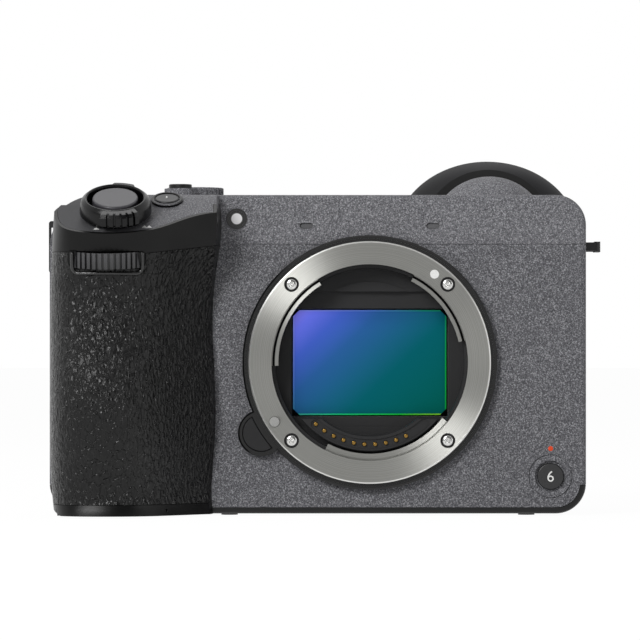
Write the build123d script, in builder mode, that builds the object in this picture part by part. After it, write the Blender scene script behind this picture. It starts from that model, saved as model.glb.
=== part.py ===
from build123d import *
import os
from math import asin, cos, degrees, hypot, radians, sin, sqrt, tan

os.makedirs("parts", exist_ok=True)

# Frame: +Z up, the lens looks along -Y, +X is to the right as seen from the front.
# The origin is the mouth of the tripod socket, under the lens axis. Sizes are in millimetres.

# Body
body_left = -77.35
body_right = 52.3
body_height = 77.4
front_y = -19.5
rear_y = 19.0
corner_radius = 7.3
crown_radius = 13.0
edge_round = 1.2
wall = 1.6
foot_height = 0.4
seam = 0.12
top_seam_z = 65.5
side_seam_y = -2.0
tray_wall = 1.4
tray_rise = 7.3

# Clearances
slip = 0.05
gap = 0.3

# Lens mount
mount_z = 36.9
flange_depth = 18.0
flange_y = -23.0
ring_radius = 29.2
ring_bore = 23.67
ring_thick = 2.8
claw_bore = 22.0
collar_width = 1.5
collar_proud = 2.4
screw_circle = 26.6
pin_circle = 27.0
pin_angle = 212.0
contact_circle = 19.73

# Sensor and shutter
gate_width = 38.2
gate_height = 26.4
glass_width = 37.4
glass_height = 25.6
shutter_y = -14.2
shutter_depth = 4.0
blade_thick = 0.3

# Grip and its sloping shoulder
deck_slope = 28.0
deck_radius = 24.5
deck_thick = 2.0
crest_rim = 0.8
crest_lip = 0.8
skin_thick = 1.0
skin_bottom = 3.0
skin_top_left = 63.4
skin_top_middle = 62.8
skin_top_right = 65.2

# Battery and card slots
battery_size = (22.7, 38.7, 51.7)
battery_x = -61.5
battery_front = -32.5
door_thick = 1.6
card_size = (30.0, 6.4, 28.0)

# Controls
flange_thick = 0.8
flange_lip = 0.6
button_round = 0.3
lever_x = -60.4
lever_y = -36.2
lever_radius = 8.55
lever_height = 4.9
lever_bore = 6.45
shutter_radius = 5.45
dial_x = -62.3
dial_y = -34.6
dial_z = 62.1
dial_radius = 10.0
dial_thick = 3.8
wheel_x = -53.0
wheel_z = 27.0
wheel_radius = 12.0

# Viewfinder
finder_x = 30.3
finder_z = 69.0
finder_radius = 15.0
finder_axis_y = 34.4
finder_rear = 57.5

# Monitor
monitor_left = -26.0
monitor_bottom = 5.5
monitor_height = 46.0
monitor_thick = 7.2
monitor_seat = 16.0
hinge_x = 49.6
hinge_radius = 2.3

body_width = body_right - body_left
body_tall = body_height - foot_height
body_depth = rear_y - front_y
body_mid_x = (body_right + body_left) / 2
body_mid_z = (body_height + foot_height) / 2
far = 3 * body_width


def facing(y):
    """Plane at depth y that faces the viewer: sketched in X and Z, extruded towards the front."""
    return Plane.XZ.offset(-y)


def lens_plane(y):
    """Plane at depth y, centred on the lens axis."""
    return Plane(origin=(0, y, mount_z), x_dir=(1, 0, 0), z_dir=(0, -1, 0))


def rear_point(x, z, y=rear_y):
    """Plane on the back of the body at x, z, facing the user."""
    return Plane(origin=(x, y, z), x_dir=(-1, 0, 0), z_dir=(0, 1, 0))


def front_point(x, z):
    """Plane on the front cover at x, z, facing the viewer."""
    return Plane(origin=(x, front_y, z), x_dir=(1, 0, 0), z_dir=(0, -1, 0))


def top_point(x, y):
    """Plane on the top plate at x, y."""
    return Plane(origin=(x, y, body_height), x_dir=(1, 0, 0), z_dir=(0, 0, 1))


def finder_plane(y):
    """Plane at depth y, centred on the viewfinder's barrel."""
    return Plane(origin=(finder_x, y, finder_z), x_dir=(1, 0, 0), z_dir=(0, -1, 0))


def deck_plane(x, y):
    """Plane on the sloping shoulder at x, y: a round bend out of the top plate, then straight."""
    run = front_y - y
    bend_run = deck_radius * sin(radians(deck_slope))
    if run < bend_run:
        tilt = asin(run / deck_radius)
        drop = deck_radius * (1 - cos(tilt))
    else:
        tilt = radians(deck_slope)
        drop = deck_radius * (1 - cos(tilt)) + (run - bend_run) * tan(tilt)
    return Plane(origin=(x, y, body_height - drop), x_dir=(1, 0, 0), z_dir=(0, -sin(tilt), cos(tilt)))


def write(piece, name):
    """Label a finished piece and write its file."""
    piece.part.label = name
    export_step(piece.part, f"parts/{name}.step")


def block(x0, x1, y0, y1, z0, z1):
    """A plain block between two corners."""
    middle = ((x0 + x1) / 2, (y0 + y1) / 2, (z0 + z1) / 2)
    return Pos(*middle) * Box(x1 - x0, y1 - y0, z1 - z0)


def slab(x0, x1, y0, y1, z0, z1, mode=Mode.ADD):
    """A block between two corners, added to the piece being built or cut from it."""
    with Locations(((x0 + x1) / 2, (y0 + y1) / 2, (z0 + z1) / 2)):
        Box(x1 - x0, y1 - y0, z1 - z0, mode=mode)


def body_outline(inset):
    """The body seen from the front, its walls moved in by inset: the crown over the grip is the roundest."""
    with BuildSketch() as outline:
        with Locations((body_mid_x, body_mid_z)):
            Rectangle(body_width - 2 * inset, body_tall - 2 * inset)
        corners = outline.vertices().sort_by_distance((body_left, body_height))
        fillet(corners[1:], corner_radius - inset)
        fillet(outline.vertices().sort_by_distance((body_left, body_height))[0], crown_radius - inset)
    return outline.sketch


def body_block(inset):
    """The rounded block of the body with every wall moved in by inset."""
    with BuildPart() as form:
        with BuildSketch(facing(rear_y - inset)):
            add(body_outline(inset))
        extrude(amount=body_depth - 2 * inset)
        if inset == 0:
            fillet(form.faces().filter_by(Axis.Y).edges(), edge_round)
    return form.part


def body_column(inset, front=front_y - wall):
    """The body's outline, seen from the front, moved in by inset and carried from the back to front."""
    with BuildPart() as form:
        with BuildSketch(facing(rear_y + wall)):
            add(body_outline(inset))
        extrude(amount=rear_y + wall - front)
    return form.part


# Frame round the front dial, and where the shoulder plate ends in the top plate
frame_half = 9.1
frame_lip = 0.8
frame_corner = 1.4
frame_proud = 0.4
shoulder_right = -38.6

# Grip sections from above. Along the width: share of the width from the left edge.
# Forward: share of the reach, on a hollowed finger side and on a full shoulder.
grip_along = (0, 0.01, 0.035, 0.115, 0.24, 0.38, 0.52, 0.65, 0.77, 0.885, 0.985, 1)
grip_hollow = (0, 0.35, 0.66, 0.88, 0.975, 1, 0.95, 0.80, 0.57, 0.32, 0.10, 0)
grip_full = (0, 0.40, 0.70, 0.90, 0.98, 1, 0.96, 0.87, 0.71, 0.57, 0.50, 0)
# Each level: height, left edge, right edge, reach in front of the cover, fullness of the shoulder
grip_levels = (
    (foot_height, -75.9, -37.8, 22.6, 0.15),
    (0.2 * body_height, -76.9, -37.6, 24.8, 0.0),
    (0.47 * body_height, -76.9, -37.6, 25.5, 0.0),
    (0.7 * body_height, -76.8, -37.6, 21.6, 0.2),
    (0.84 * body_height, -76.3, -36.2, 24.2, 0.9),
    (1.02 * body_height, -74.9, -37.4, 24.8, 1.0),
)


def grip_outline(level, inset):
    """Points of one grip section, each moved in by inset along the outline's normal."""
    _, left, right, reach, fullness = level
    points = []
    for along, hollow, full in zip(grip_along, grip_hollow, grip_full):
        share = hollow + fullness * (full - hollow)
        points.append((left + along * (right - left), front_y - share * reach))
    moved = [(points[0][0] + inset, front_y)]
    for before, here, after in zip(points, points[1:], points[2:]):
        run_x = after[0] - before[0]
        run_y = after[1] - before[1]
        length = hypot(run_x, run_y)
        moved.append((here[0] - inset * run_y / length, here[1] + inset * run_x / length))
    moved.append((points[-1][0] - inset, front_y))
    return moved


def grip_form(inset):
    """The grip's loft through its levels, its surface moved in by inset."""
    with BuildPart() as form:
        for level in grip_levels:
            outline = grip_outline(level, inset)
            with BuildSketch(Plane.XY.offset(level[0])):
                with BuildLine():
                    Spline(*outline[:-1])
                    Polyline(*outline[-2:], outline[0])
                make_face()
        loft()
    return form.part


def under_deck(drop):
    """Everything under the top plate and the sloping shoulder, with the surface lowered by drop."""
    tilt = radians(deck_slope)
    bend_end = front_y - deck_radius * sin(tilt)
    bend_z = body_height - drop - deck_radius * (1 - cos(tilt))
    nose_y = bend_end - 2 * deck_radius
    with BuildPart() as form:
        with BuildSketch(Plane.YZ.offset(body_left - wall)):
            with BuildLine():
                CenterArc((front_y, body_height - drop - deck_radius), deck_radius, 90, deck_slope)
                Polyline(
                    (bend_end, bend_z),
                    (nose_y, bend_z - 2 * deck_radius * tan(tilt)),
                    (nose_y, -wall),
                    (rear_y + wall, -wall),
                    (rear_y + wall, body_height - drop),
                    (front_y, body_height - drop),
                )
            make_face()
        extrude(amount=body_width + 2 * wall)
    return form.part


body_outer = body_block(0)
body_inner = body_block(wall)
deck_top = under_deck(0)
deck_floor = under_deck(deck_thick)

# The crest stands a lip proud of the crown where the shoulder is straight, and is level with it behind
bend_y = front_y - deck_radius * sin(radians(deck_slope))
crown_zone = block(-far, far, bend_y, rear_y + wall, body_mid_z, far)
crown_cap = body_column(-crest_lip, -far) - (crown_zone - body_column(0, -far))
grip_outer = grip_form(0) & crown_cap
grip_inner = grip_form(skin_thick)
tray_zone = body_outer - body_column(tray_wall + seam)
tray_zone -= block(-far, far, -far, far, tray_rise + seam, far)



def push_button(plane, radius, proud, depth):
    """Round button through a wall of the given depth, with a flange behind that keeps it in."""
    with BuildPart() as button:
        with BuildSketch(plane.offset(-depth - slip - flange_thick)):
            Circle(radius + flange_lip)
        extrude(amount=flange_thick)
        with BuildSketch(plane.offset(-depth - slip)):
            Circle(radius)
        extrude(amount=depth + slip + proud)
        outward = Axis(plane.origin, plane.z_dir)
        fillet(button.faces().sort_by(outward)[-1].edges(), button_round)
    return button


def knurled_wheel(plane, radius, thick, ridges, shaft_radius, shaft_length):
    """Thumb wheel with ridges round its rim and a stub shaft out of each face."""
    ridge_depth = 0.5
    with BuildPart() as wheel:
        with BuildSketch(plane.offset(-thick / 2)):
            Circle(radius - ridge_depth)
            with PolarLocations(radius - ridge_depth, ridges):
                Rectangle(2 * ridge_depth, 3.6 * radius / ridges)
        extrude(amount=thick)
        with BuildSketch(plane.offset(-shaft_length / 2)):
            Circle(shaft_radius)
        extrude(amount=shaft_length)
    return wheel


def wheel_pocket(plane, radius, thick, shaft_radius, shaft_length):
    """The room that a thumb wheel turns in, with bores for its stub shafts."""
    with BuildPart() as pocket:
        with BuildSketch(plane.offset(-thick / 2 - gap)):
            Circle(radius + gap)
        extrude(amount=thick + 2 * gap)
        with BuildSketch(plane.offset(-shaft_length / 2 - gap)):
            Circle(shaft_radius + slip)
        extrude(amount=shaft_length + 2 * gap)
    return pocket.part


# Places shared by several pieces
lever_plane = deck_plane(lever_x, lever_y)
grip_button_plane = deck_plane(-48.5, -29.0)
grip_button_radius = 2.8
record_plane = top_point(-46.3, -5.0)
record_radius = 2.8
record_collar_radius = 3.9
record_collar_height = 2.0
top_dial_plane = top_point(-43.1, 6.0)
top_dial_radius = 7.0
top_dial_height = 2.4
top_dial_shaft = 1.5
front_button_plane = front_point(43.7, 9.4)
front_button_radius = 3.2
front_button_recess = 0.8
lamp_plane = front_point(-32.1, 71.6)
lamp_radius = 2.5
mic_x = 15.3
mic_z = 69.9
dial_plane = Plane(origin=(dial_x, dial_y, dial_z), x_dir=(1, 0, 0), z_dir=(0, -0.14, 0.99))
dial_shaft = 1.5
dial_shaft_length = dial_thick + 4
rear_dial_plane = Plane(origin=(-62.0, rear_y - 7.5, body_height - 5.7), x_dir=(1, 0, 0), z_dir=(0, 0, 1))
rear_dial_radius = 9.0
rear_dial_thick = 4.0
rear_dial_shaft = 1.5
rear_dial_shaft_length = rear_dial_thick + 3
shoe_x = 0.0
shoe_width = 18.6
shoe_gap = 12.5
shoe_length = 18.0
shoe_front = rear_y - shoe_length - edge_round
shoe_depth = 4.6
shoe_rail = 1.5
bush_radius = 4.6
thread_radius = 2.55
thread_depth = 5.5
top_bush_places = ((-26.0, 2.0), (43.0, 2.0))
release_angle = pin_angle + 1.0
release_circle = 31.2
release_radius = 4.5
release_lobe = 5.6
release_stroke = 1.5
joystick_x = -40.5
joystick_z = 56.0
joystick_radius = 3.6
ball_radius = 2.0
ball_depth = 1.6
menu_plane = rear_point(-20.0, 62.0)
focus_plane = rear_point(-54.0, 60.0)
play_plane = rear_point(-68.0, 12.0)
rear_button_radius = 3.1
centre_radius = 5.0
card_door_low = 20.0
card_door_high = 52.0
card_door_front = 5.0
card_door_rear = 15.5
socket_low = 12.0
socket_middle = 35.0
socket_high = 58.0
socket_front = 1.5
socket_rear = 14.0
hinge_pin = 0.8
shutter_boss_x = 26.5
shutter_boss_z = 24.0
screw_shank = 0.85
screw_head = 1.4
screw_head_height = 0.9
pin_radius = 1.25
index_angle = 53.6
claw_arcs = ((13.0, 63.0), (122.0, 182.0), (243.0, 322.6))
claw_step = 0.8
claw_back = 2.2
claw_groove = 0.4
gate_top = 17.2
gate_bottom = 15.5
brow_top = 19.6
brow_radius = 18.1
block_inner = 17.7
block_outer = 21.45
block_top = 13.45
channel_half = 1.2
channel_depth = 0.4
channel_start = 229.0
channel_sweep = 82.5
contact_first = 228.8
contact_pitch = 7.5
contact_radius = 0.5
contact_face = flange_y + 1.6
post_x = 28.0
post_z = 24.0
board_mid_z = 36.0
board_gap = 0.8
board_thick = 1.4
board_chips = ((-8.0, 6.0, 22.0, 22.0, 2.0), (18.0, 8.0, 14.0, 18.0, 1.6), (0.0, -16.0, 40.0, 8.0, 1.2))
bush_height = 6.5
pad_size = 6.0
pad_height = 3.4
screw_places = ((-29.0, -13.0), (29.0, -13.0), (-29.0, -1.0), (29.0, -1.0))
lug_y = -6.0
lug_z = 65.1
lug_out = 3.9
lug_long = 10.0
lug_thick = 2.1
lever_tab_x = 0.9
barrel_rear = 44.0
cup_front = 51.0
cup_wide = 23.8
cup_upper = 19.8
cup_lower = 15.0
lens_half_x = 11.0
lens_half_z = 8.0
pivot_radius = 2.2
diopter_radius = 2.6
diopter_thick = 2.0
glass_wide = 67.0
glass_tall = 41.0
monitor_glass_thick = 0.8
battery_clear = 0.25
battery_left = battery_x - battery_size[0] / 2
battery_right = battery_x + battery_size[0] / 2
battery_rear = battery_front + battery_size[1]
battery_low = foot_height + door_thick + gap
battery_high = battery_low + battery_size[2]
door_margin = 1.6
door_left = battery_left - door_margin
door_right = battery_right + door_margin
door_front = battery_front - door_margin
door_hinge_y = battery_rear + 2.0
barrel_radius = door_thick / 2 + 0.1
latch_size = (8.0, 4.0, 0.8)
latch_travel = 2.5
latch_y = door_front + 6.0
battery_bay = block(
    battery_left - battery_clear,
    battery_right + battery_clear,
    battery_front - battery_clear,
    battery_rear + battery_clear,
    -wall,
    battery_high + battery_clear,
)
door_hole = block(
    door_left - gap, door_right + gap, door_front - gap, door_hinge_y, -wall, foot_height + door_thick
)
barrel_axis = Plane(
    origin=(door_left - gap, door_hinge_y, foot_height + door_thick / 2), x_dir=(0, 1, 0), z_dir=(1, 0, 0)
)

diopter_plane = Plane(
    origin=(finder_x - finder_radius - 3.3, (barrel_rear + cup_front) / 2, finder_z),
    x_dir=(0, 1, 0),
    z_dir=(-1, 0, 0),
)

# The release button's outline and the slot it slides in: a half moon with its flat side along the ring
def release_outline(margin):
    """The button's outline, grown by margin, on a plane centred on the lens axis."""
    with BuildSketch() as outline:
        with PolarLocations(release_circle, 1, start_angle=release_angle):
            Circle(release_radius + margin)
        Circle(release_circle - margin, mode=Mode.SUBTRACT)
    return outline.sketch


release_shape = release_outline(0)
release_shape_wide = release_outline(flange_lip)
release_slot = release_outline(slip)
release_room = release_outline(flange_lip + gap)

# The shoulder plate fills the crest's rim, runs to the crest's right side behind its corner, and
# reaches back over the top plate's front edge
flank_front = bend_y + 0.6
shoulder = grip_form(crest_rim + 0.1)
flank = block(body_left + crown_radius, far, flank_front, front_y, top_seam_z, body_height + wall)
shoulder += flank & grip_outer
shoulder += block(
    body_left + crown_radius,
    shoulder_right,
    front_y - 1.0,
    front_y + 2 * wall,
    top_seam_z,
    body_height + wall,
)
shoulder = (shoulder & deck_top & crown_cap) - deck_floor


def skin_zone(margin):
    """Where the skin lies, drawn in by margin: its upper edge dips to the dial and rises to the right."""
    right = max(level[2] for level in grip_levels) + wall
    with BuildPart() as zone:
        with BuildSketch(facing(front_y)):
            with BuildLine():
                Polyline(
                    (body_left - wall, skin_bottom + margin),
                    (body_left - wall, skin_top_left - margin),
                    (dial_x, skin_top_middle - margin),
                    (dial_x + frame_half, skin_top_middle - margin),
                    (right, skin_top_right - margin),
                    (right, skin_bottom + margin),
                    close=True,
                )
            make_face()
        extrude(amount=far)
    return zone.part


# Under the shoulder plate the core steps down; the skin lies in a shallow pocket round it
deck_seat = grip_form(crest_rim)
deck_seat += block(
    body_left + crown_radius - 0.1, far, flank_front - 0.1, front_y, top_seam_z, body_height + wall
)
deck_seat -= under_deck(deck_thick + 0.1)
skin_layer = (grip_outer & skin_zone(0)) - grip_inner
skin_layer_thin = (grip_outer & skin_zone(seam)) - grip_form(skin_thick - slip)


def frame_column(margin):
    """The front dial's frame seen from the front, grown by margin, with rounded lower corners."""
    low = dial_z - dial_thick / 2 - frame_lip
    with BuildPart() as column:
        with BuildSketch(facing(front_y)):
            with Locations((dial_x, (low + body_height) / 2)):
                RectangleRounded(2 * (frame_half + margin), body_height - low + 2 * margin, frame_corner)
        extrude(amount=far)
    return column.part


# The front dial's raised frame and the pocket behind it
dial_frame = (grip_form(-frame_proud) & frame_column(0) & skin_zone(-seam)) - grip_form(skin_thick + slip)
dial_notch = frame_column(seam) - block(-far, far, dial_y, front_y, -far, far)
dial_pocket = wheel_pocket(dial_plane, dial_radius, dial_thick, dial_shaft, dial_shaft_length)

# Front cover: painted metal shell, open round the lens mount and behind the grip
with BuildPart() as front_cover:
    add(body_outer)
    add(body_inner, mode=Mode.SUBTRACT)
    split(bisect_by=Plane.XY.offset(top_seam_z - seam / 2), keep=Keep.BOTTOM)
    split(bisect_by=facing(side_seam_y - seam / 2), keep=Keep.TOP)
    add(tray_zone, mode=Mode.SUBTRACT)
    slab(-far, far, front_y + wall, rear_y, -wall, tray_rise + seam, mode=Mode.SUBTRACT)
    with Locations(lens_plane(front_y)):
        Hole(ring_radius + slip, wall * 2)
    add(battery_bay, mode=Mode.SUBTRACT)
    add(door_hole, mode=Mode.SUBTRACT)
    with Locations(front_button_plane):
        CounterBoreHole(
            front_button_radius + slip, front_button_radius + 2 * gap, front_button_recess, 2 * wall
        )
    with BuildSketch(front_button_plane):
        Circle(5.35)
        Circle(5.05, mode=Mode.SUBTRACT)
    extrude(amount=-0.3, mode=Mode.SUBTRACT)
    with BuildSketch(lens_plane(front_y)):
        add(release_room)
    extrude(amount=-wall * 2, mode=Mode.SUBTRACT)
write(front_cover, "front_cover")

# Top cover: painted metal, with the sloping shoulder that the shutter button stands on
with BuildPart() as top_cover:
    add(body_outer)
    add(body_inner, mode=Mode.SUBTRACT)
    split(bisect_by=Plane.XY.offset(top_seam_z + seam / 2), keep=Keep.TOP)
    add(shoulder)
    with BuildSketch(facing(rear_y)):
        with Locations((shoe_x, body_height - shoe_depth / 2 - wall / 2)):
            Rectangle(shoe_width + 2 * wall, shoe_depth + wall)
    extrude(amount=rear_y - shoe_front + wall)
    with BuildSketch(facing(rear_y + wall)):
        with Locations((shoe_x, body_height - shoe_depth / 2 + wall / 2)):
            Rectangle(shoe_width, shoe_depth + wall)
    extrude(amount=rear_y + wall - shoe_front, mode=Mode.SUBTRACT)
    with BuildSketch(record_plane):
        Circle(record_collar_radius)
    extrude(amount=record_collar_height)
    with Locations(record_plane.offset(record_collar_height)):
        Hole(record_radius + slip, record_collar_height + 2 * wall)
    with Locations(top_dial_plane):
        Hole(top_dial_shaft + slip, 2 * wall)
    with Locations(*[top_point(x, y) for x, y in top_bush_places]):
        Hole(bush_radius + slip, 2 * wall)
    with BuildSketch(grip_button_plane.offset(-deck_thick / 2)):
        Circle(grip_button_radius + 0.9)
    extrude(amount=deck_thick / 2 + 0.5)
    with Locations(grip_button_plane.offset(0.5)):
        Hole(grip_button_radius + slip, 2 * deck_thick)
    with Locations(lever_plane):
        Hole(shutter_radius + gap, 2 * deck_thick)
    with Locations(lamp_plane):
        Hole(lamp_radius + slip, 2 * wall)
    with BuildSketch(facing(front_y + 2 * wall)):
        with Locations((-mic_x, mic_z), (mic_x, mic_z)):
            SlotOverall(3.25, 1.4)
    extrude(amount=3 * wall, mode=Mode.SUBTRACT)
    with Locations(lens_plane(front_y)):
        Hole(ring_radius + slip, 2 * wall)
    with BuildSketch(rear_dial_plane.offset(rear_dial_thick / 2 + gap)):
        Circle(3.2)
    extrude(amount=body_height - wall - rear_dial_plane.origin.Z - rear_dial_thick / 2 - gap)
    add(
        wheel_pocket(
            rear_dial_plane, rear_dial_radius, rear_dial_thick, rear_dial_shaft, rear_dial_shaft_length
        ),
        mode=Mode.SUBTRACT,
    )
write(top_cover, "top_cover")

# Rear cover: moulded shell with a seat for the monitor, a thumb rest and knuckles for the hinge
hinge_low = monitor_bottom + 3.0
hinge_high = monitor_bottom + monitor_height - 3.0
seat_left = monitor_left - gap
seat_low = monitor_bottom - gap
seat_high = monitor_bottom + monitor_height + gap
hinge_y = monitor_seat + monitor_thick / 2 + gap
pin_reach = 2.0
with BuildPart() as rear_cover:
    add(body_outer)
    add(body_inner, mode=Mode.SUBTRACT)
    split(bisect_by=Plane.XY.offset(top_seam_z - seam / 2), keep=Keep.BOTTOM)
    split(bisect_by=facing(side_seam_y + seam / 2), keep=Keep.BOTTOM)
    slab(-far, far, -far, rear_y - wall, -wall, tray_rise + seam, mode=Mode.SUBTRACT)
    slab(
        seat_left - wall,
        body_right - wall,
        monitor_seat - wall,
        rear_y - wall / 2,
        seat_low - wall,
        seat_high + wall,
    )
    slab(seat_left, far, monitor_seat, far, seat_low, seat_high, mode=Mode.SUBTRACT)
    with BuildSketch(facing(rear_y)):
        with Locations((-69.5, 47.0)):
            RectangleRounded(9.0, 22.0, 4.0)
    extrude(amount=-2.6)
    fillet(rear_cover.faces().sort_by(Axis.Y)[-1].edges(), 1.8)
    for z0, z1 in ((seat_low, hinge_low - gap / 2), (hinge_high + gap / 2, seat_high)):
        with BuildSketch(Plane.XY.offset(z0)):
            with Locations((hinge_x, hinge_y)):
                Circle(hinge_radius)
            with Locations((hinge_x, (hinge_y + monitor_seat) / 2 - wall / 4)):
                Rectangle(2 * hinge_radius, hinge_y - monitor_seat + wall / 2)
        extrude(amount=z1 - z0)
    add(tray_zone, mode=Mode.SUBTRACT)
    with Locations((hinge_x, hinge_y, seat_high)):
        Hole(hinge_pin + slip, seat_high - hinge_low + pin_reach + gap)
    with Locations(rear_point(wheel_x, wheel_z)):
        CounterBoreHole(centre_radius + slip, wheel_radius + gap, 1.0, 2 * wall)
    with BuildSketch(rear_point(joystick_x, joystick_z).offset(-wall / 2)):
        Circle(joystick_radius + 2.4)
    extrude(amount=-ball_depth - ball_radius - wall / 2)
    with Locations(rear_point(joystick_x, joystick_z)):
        Hole(joystick_radius + 1.2, wall + ball_depth - ball_radius / 4)
    with Locations((joystick_x, rear_y - wall - ball_depth, joystick_z)):
        Sphere(ball_radius + slip, mode=Mode.SUBTRACT)
    with Locations(menu_plane, focus_plane, play_plane):
        Hole(rear_button_radius + slip, 2 * wall)
    slab(
        body_left - wall,
        body_left + 2 * wall,
        card_door_front - gap,
        card_door_rear + wall / 2 + gap,
        card_door_low - gap,
        card_door_high + gap,
        mode=Mode.SUBTRACT,
    )
    for z0, z1 in ((socket_low, socket_middle), (socket_middle, socket_high)):
        slab(
            body_right - 2 * wall,
            body_right + wall,
            socket_front - wall / 2 - gap,
            socket_rear + gap,
            z0 + gap,
            z1 - gap,
            mode=Mode.SUBTRACT,
        )
    add(battery_bay, mode=Mode.SUBTRACT)
    add(door_hole, mode=Mode.SUBTRACT)
write(rear_cover, "rear_cover")

# Bottom plate: black metal tray with feet, the battery door's opening and the tripod bush's hole
with BuildPart() as bottom_plate:
    add(body_outer)
    add(body_column(tray_wall), mode=Mode.SUBTRACT)
    split(bisect_by=Plane.XY.offset(tray_rise), keep=Keep.BOTTOM)
    with BuildSketch(Plane.XY):
        with Locations((38.0, -14.0), (38.0, 14.0), (-34.0, -14.0), (-34.0, 14.0), (-70.0, 14.0)):
            Circle(2.0)
    extrude(amount=foot_height + tray_wall / 2)
    with Locations(Plane.XY.offset(foot_height + tray_wall)):
        Hole(bush_radius + slip, 2 * tray_wall)
    add(battery_bay, mode=Mode.SUBTRACT)
    add(door_hole, mode=Mode.SUBTRACT)
    with BuildSketch(barrel_axis):
        Circle(barrel_radius + gap)
    extrude(amount=door_right - door_left + 2 * gap, mode=Mode.SUBTRACT)
    with Locations(Plane.XY.offset(foot_height)):
        with Locations(*screw_places):
            Cylinder(1.55, 0.75, align=(Align.CENTER, Align.CENTER, Align.MIN), mode=Mode.SUBTRACT)
            Cylinder(0.85, 2 * tray_wall, align=(Align.CENTER, Align.CENTER, Align.MIN), mode=Mode.SUBTRACT)
write(bottom_plate, "bottom_plate")

# Grip core: smooth black moulding whose crest and base show above and below the skin
with BuildPart() as grip_core:
    add(grip_outer)
    add(deck_top, mode=Mode.INTERSECT)
    add(skin_layer, mode=Mode.SUBTRACT)
    add(deck_seat, mode=Mode.SUBTRACT)
    add(battery_bay, mode=Mode.SUBTRACT)
    add(door_hole, mode=Mode.SUBTRACT)
    add(dial_frame)
    add(dial_pocket, mode=Mode.SUBTRACT)
    with Locations(lever_plane):
        Hole(shutter_radius + gap, deck_thick + 4.0)
    with Locations(grip_button_plane):
        Hole(grip_button_radius + flange_lip + gap, deck_thick + 3.0)
write(grip_core, "grip_core")

# Grip skin: textured rubber wrapped round the core, notched round the dial's frame
with BuildPart() as grip_skin:
    add(skin_layer_thin)
    add(dial_notch, mode=Mode.SUBTRACT)
    add(dial_pocket, mode=Mode.SUBTRACT)
write(grip_skin, "grip_skin")

# Chassis: cast front and rear plates with two side walls between them, and bosses for the shutter frame
chassis_front = front_y + wall + gap
chassis_wall = 1.6
chassis_half = 32.0
chassis_low = foot_height + tray_wall + gap
chassis_high = body_height - wall - shoe_depth - wall - gap
chassis_rear = 2.2
boss_radius = ring_radius - 0.1
baffle_radius = ring_bore
with BuildPart() as chassis:
    slab(
        -chassis_half,
        chassis_half,
        chassis_front,
        chassis_front + chassis_wall,
        chassis_low,
        chassis_high,
    )
    for side in (-1, 1):
        inner = side * (chassis_half - chassis_wall)
        outer = side * chassis_half
        slab(
            min(inner, outer),
            max(inner, outer),
            chassis_front,
            chassis_rear,
            chassis_low,
            chassis_high,
        )
    slab(
        -chassis_half,
        chassis_half,
        chassis_rear - chassis_wall,
        chassis_rear,
        chassis_low,
        chassis_high,
    )
    with BuildSketch(lens_plane(chassis_front + chassis_wall)):
        Circle(boss_radius)
    extrude(amount=chassis_front + chassis_wall - flange_y - ring_thick)
    with BuildSketch(lens_plane(shutter_y)):
        with GridLocations(2 * shutter_boss_x, 2 * shutter_boss_z, 2, 2):
            Circle(2.2)
    extrude(amount=shutter_y - chassis_front)
    with Locations(lens_plane(flange_y)):
        Hole(baffle_radius + slip, 3 * ring_thick + chassis_wall)
    with Locations(lens_plane(flange_y)):
        with PolarLocations(screw_circle, 4, start_angle=45):
            Hole(screw_shank + slip, 3 * ring_thick)
        with PolarLocations(pin_circle, 1, start_angle=pin_angle):
            Hole(pin_radius + gap, 3 * ring_thick + chassis_wall)
    with BuildSketch(lens_plane(chassis_front - ring_thick)):
        add(release_room)
    extrude(amount=-3 * ring_thick, mode=Mode.SUBTRACT)
    with BuildSketch(facing(chassis_rear)):
        with Locations((0, board_mid_z)):
            with GridLocations(2 * post_x, 2 * post_z, 2, 2):
                Circle(2.0)
    extrude(amount=-board_gap)
    with BuildSketch(Plane.XY.offset(chassis_low)):
        with Locations(*screw_places):
            Rectangle(pad_size, pad_size)
    extrude(amount=pad_height)
    with BuildSketch(Plane.XY):
        Circle(bush_radius + gap)
        with Locations(*screw_places):
            Circle(0.85)
    extrude(amount=bush_height + gap, mode=Mode.SUBTRACT)
    split(bisect_by=facing(shutter_y), keep=Keep.BOTH)
    split(bisect_by=facing(chassis_rear - chassis_wall), keep=Keep.BOTH)
write(chassis, "chassis")

# Mount collar: black moulded ring round the bayonet, with a lobe for the release button
with BuildPart() as mount_collar:
    with BuildSketch(lens_plane(front_y)):
        Circle(ring_radius + collar_width)
        with PolarLocations(release_circle, 1, start_angle=release_angle):
            Circle(release_lobe)
        Circle(ring_radius + slip, mode=Mode.SUBTRACT)
        add(release_slot, mode=Mode.SUBTRACT)
    extrude(amount=collar_proud)
    chamfer(mount_collar.faces().sort_by(Axis.Y)[0].outer_wire().edges(), 0.4)
    with BuildSketch(lens_plane(front_y - collar_proud)):
        Circle(ring_radius + 0.75)
        Circle(ring_radius + 0.45, mode=Mode.SUBTRACT)
    extrude(amount=-0.3, mode=Mode.SUBTRACT)
write(mount_collar, "mount_collar")

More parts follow.
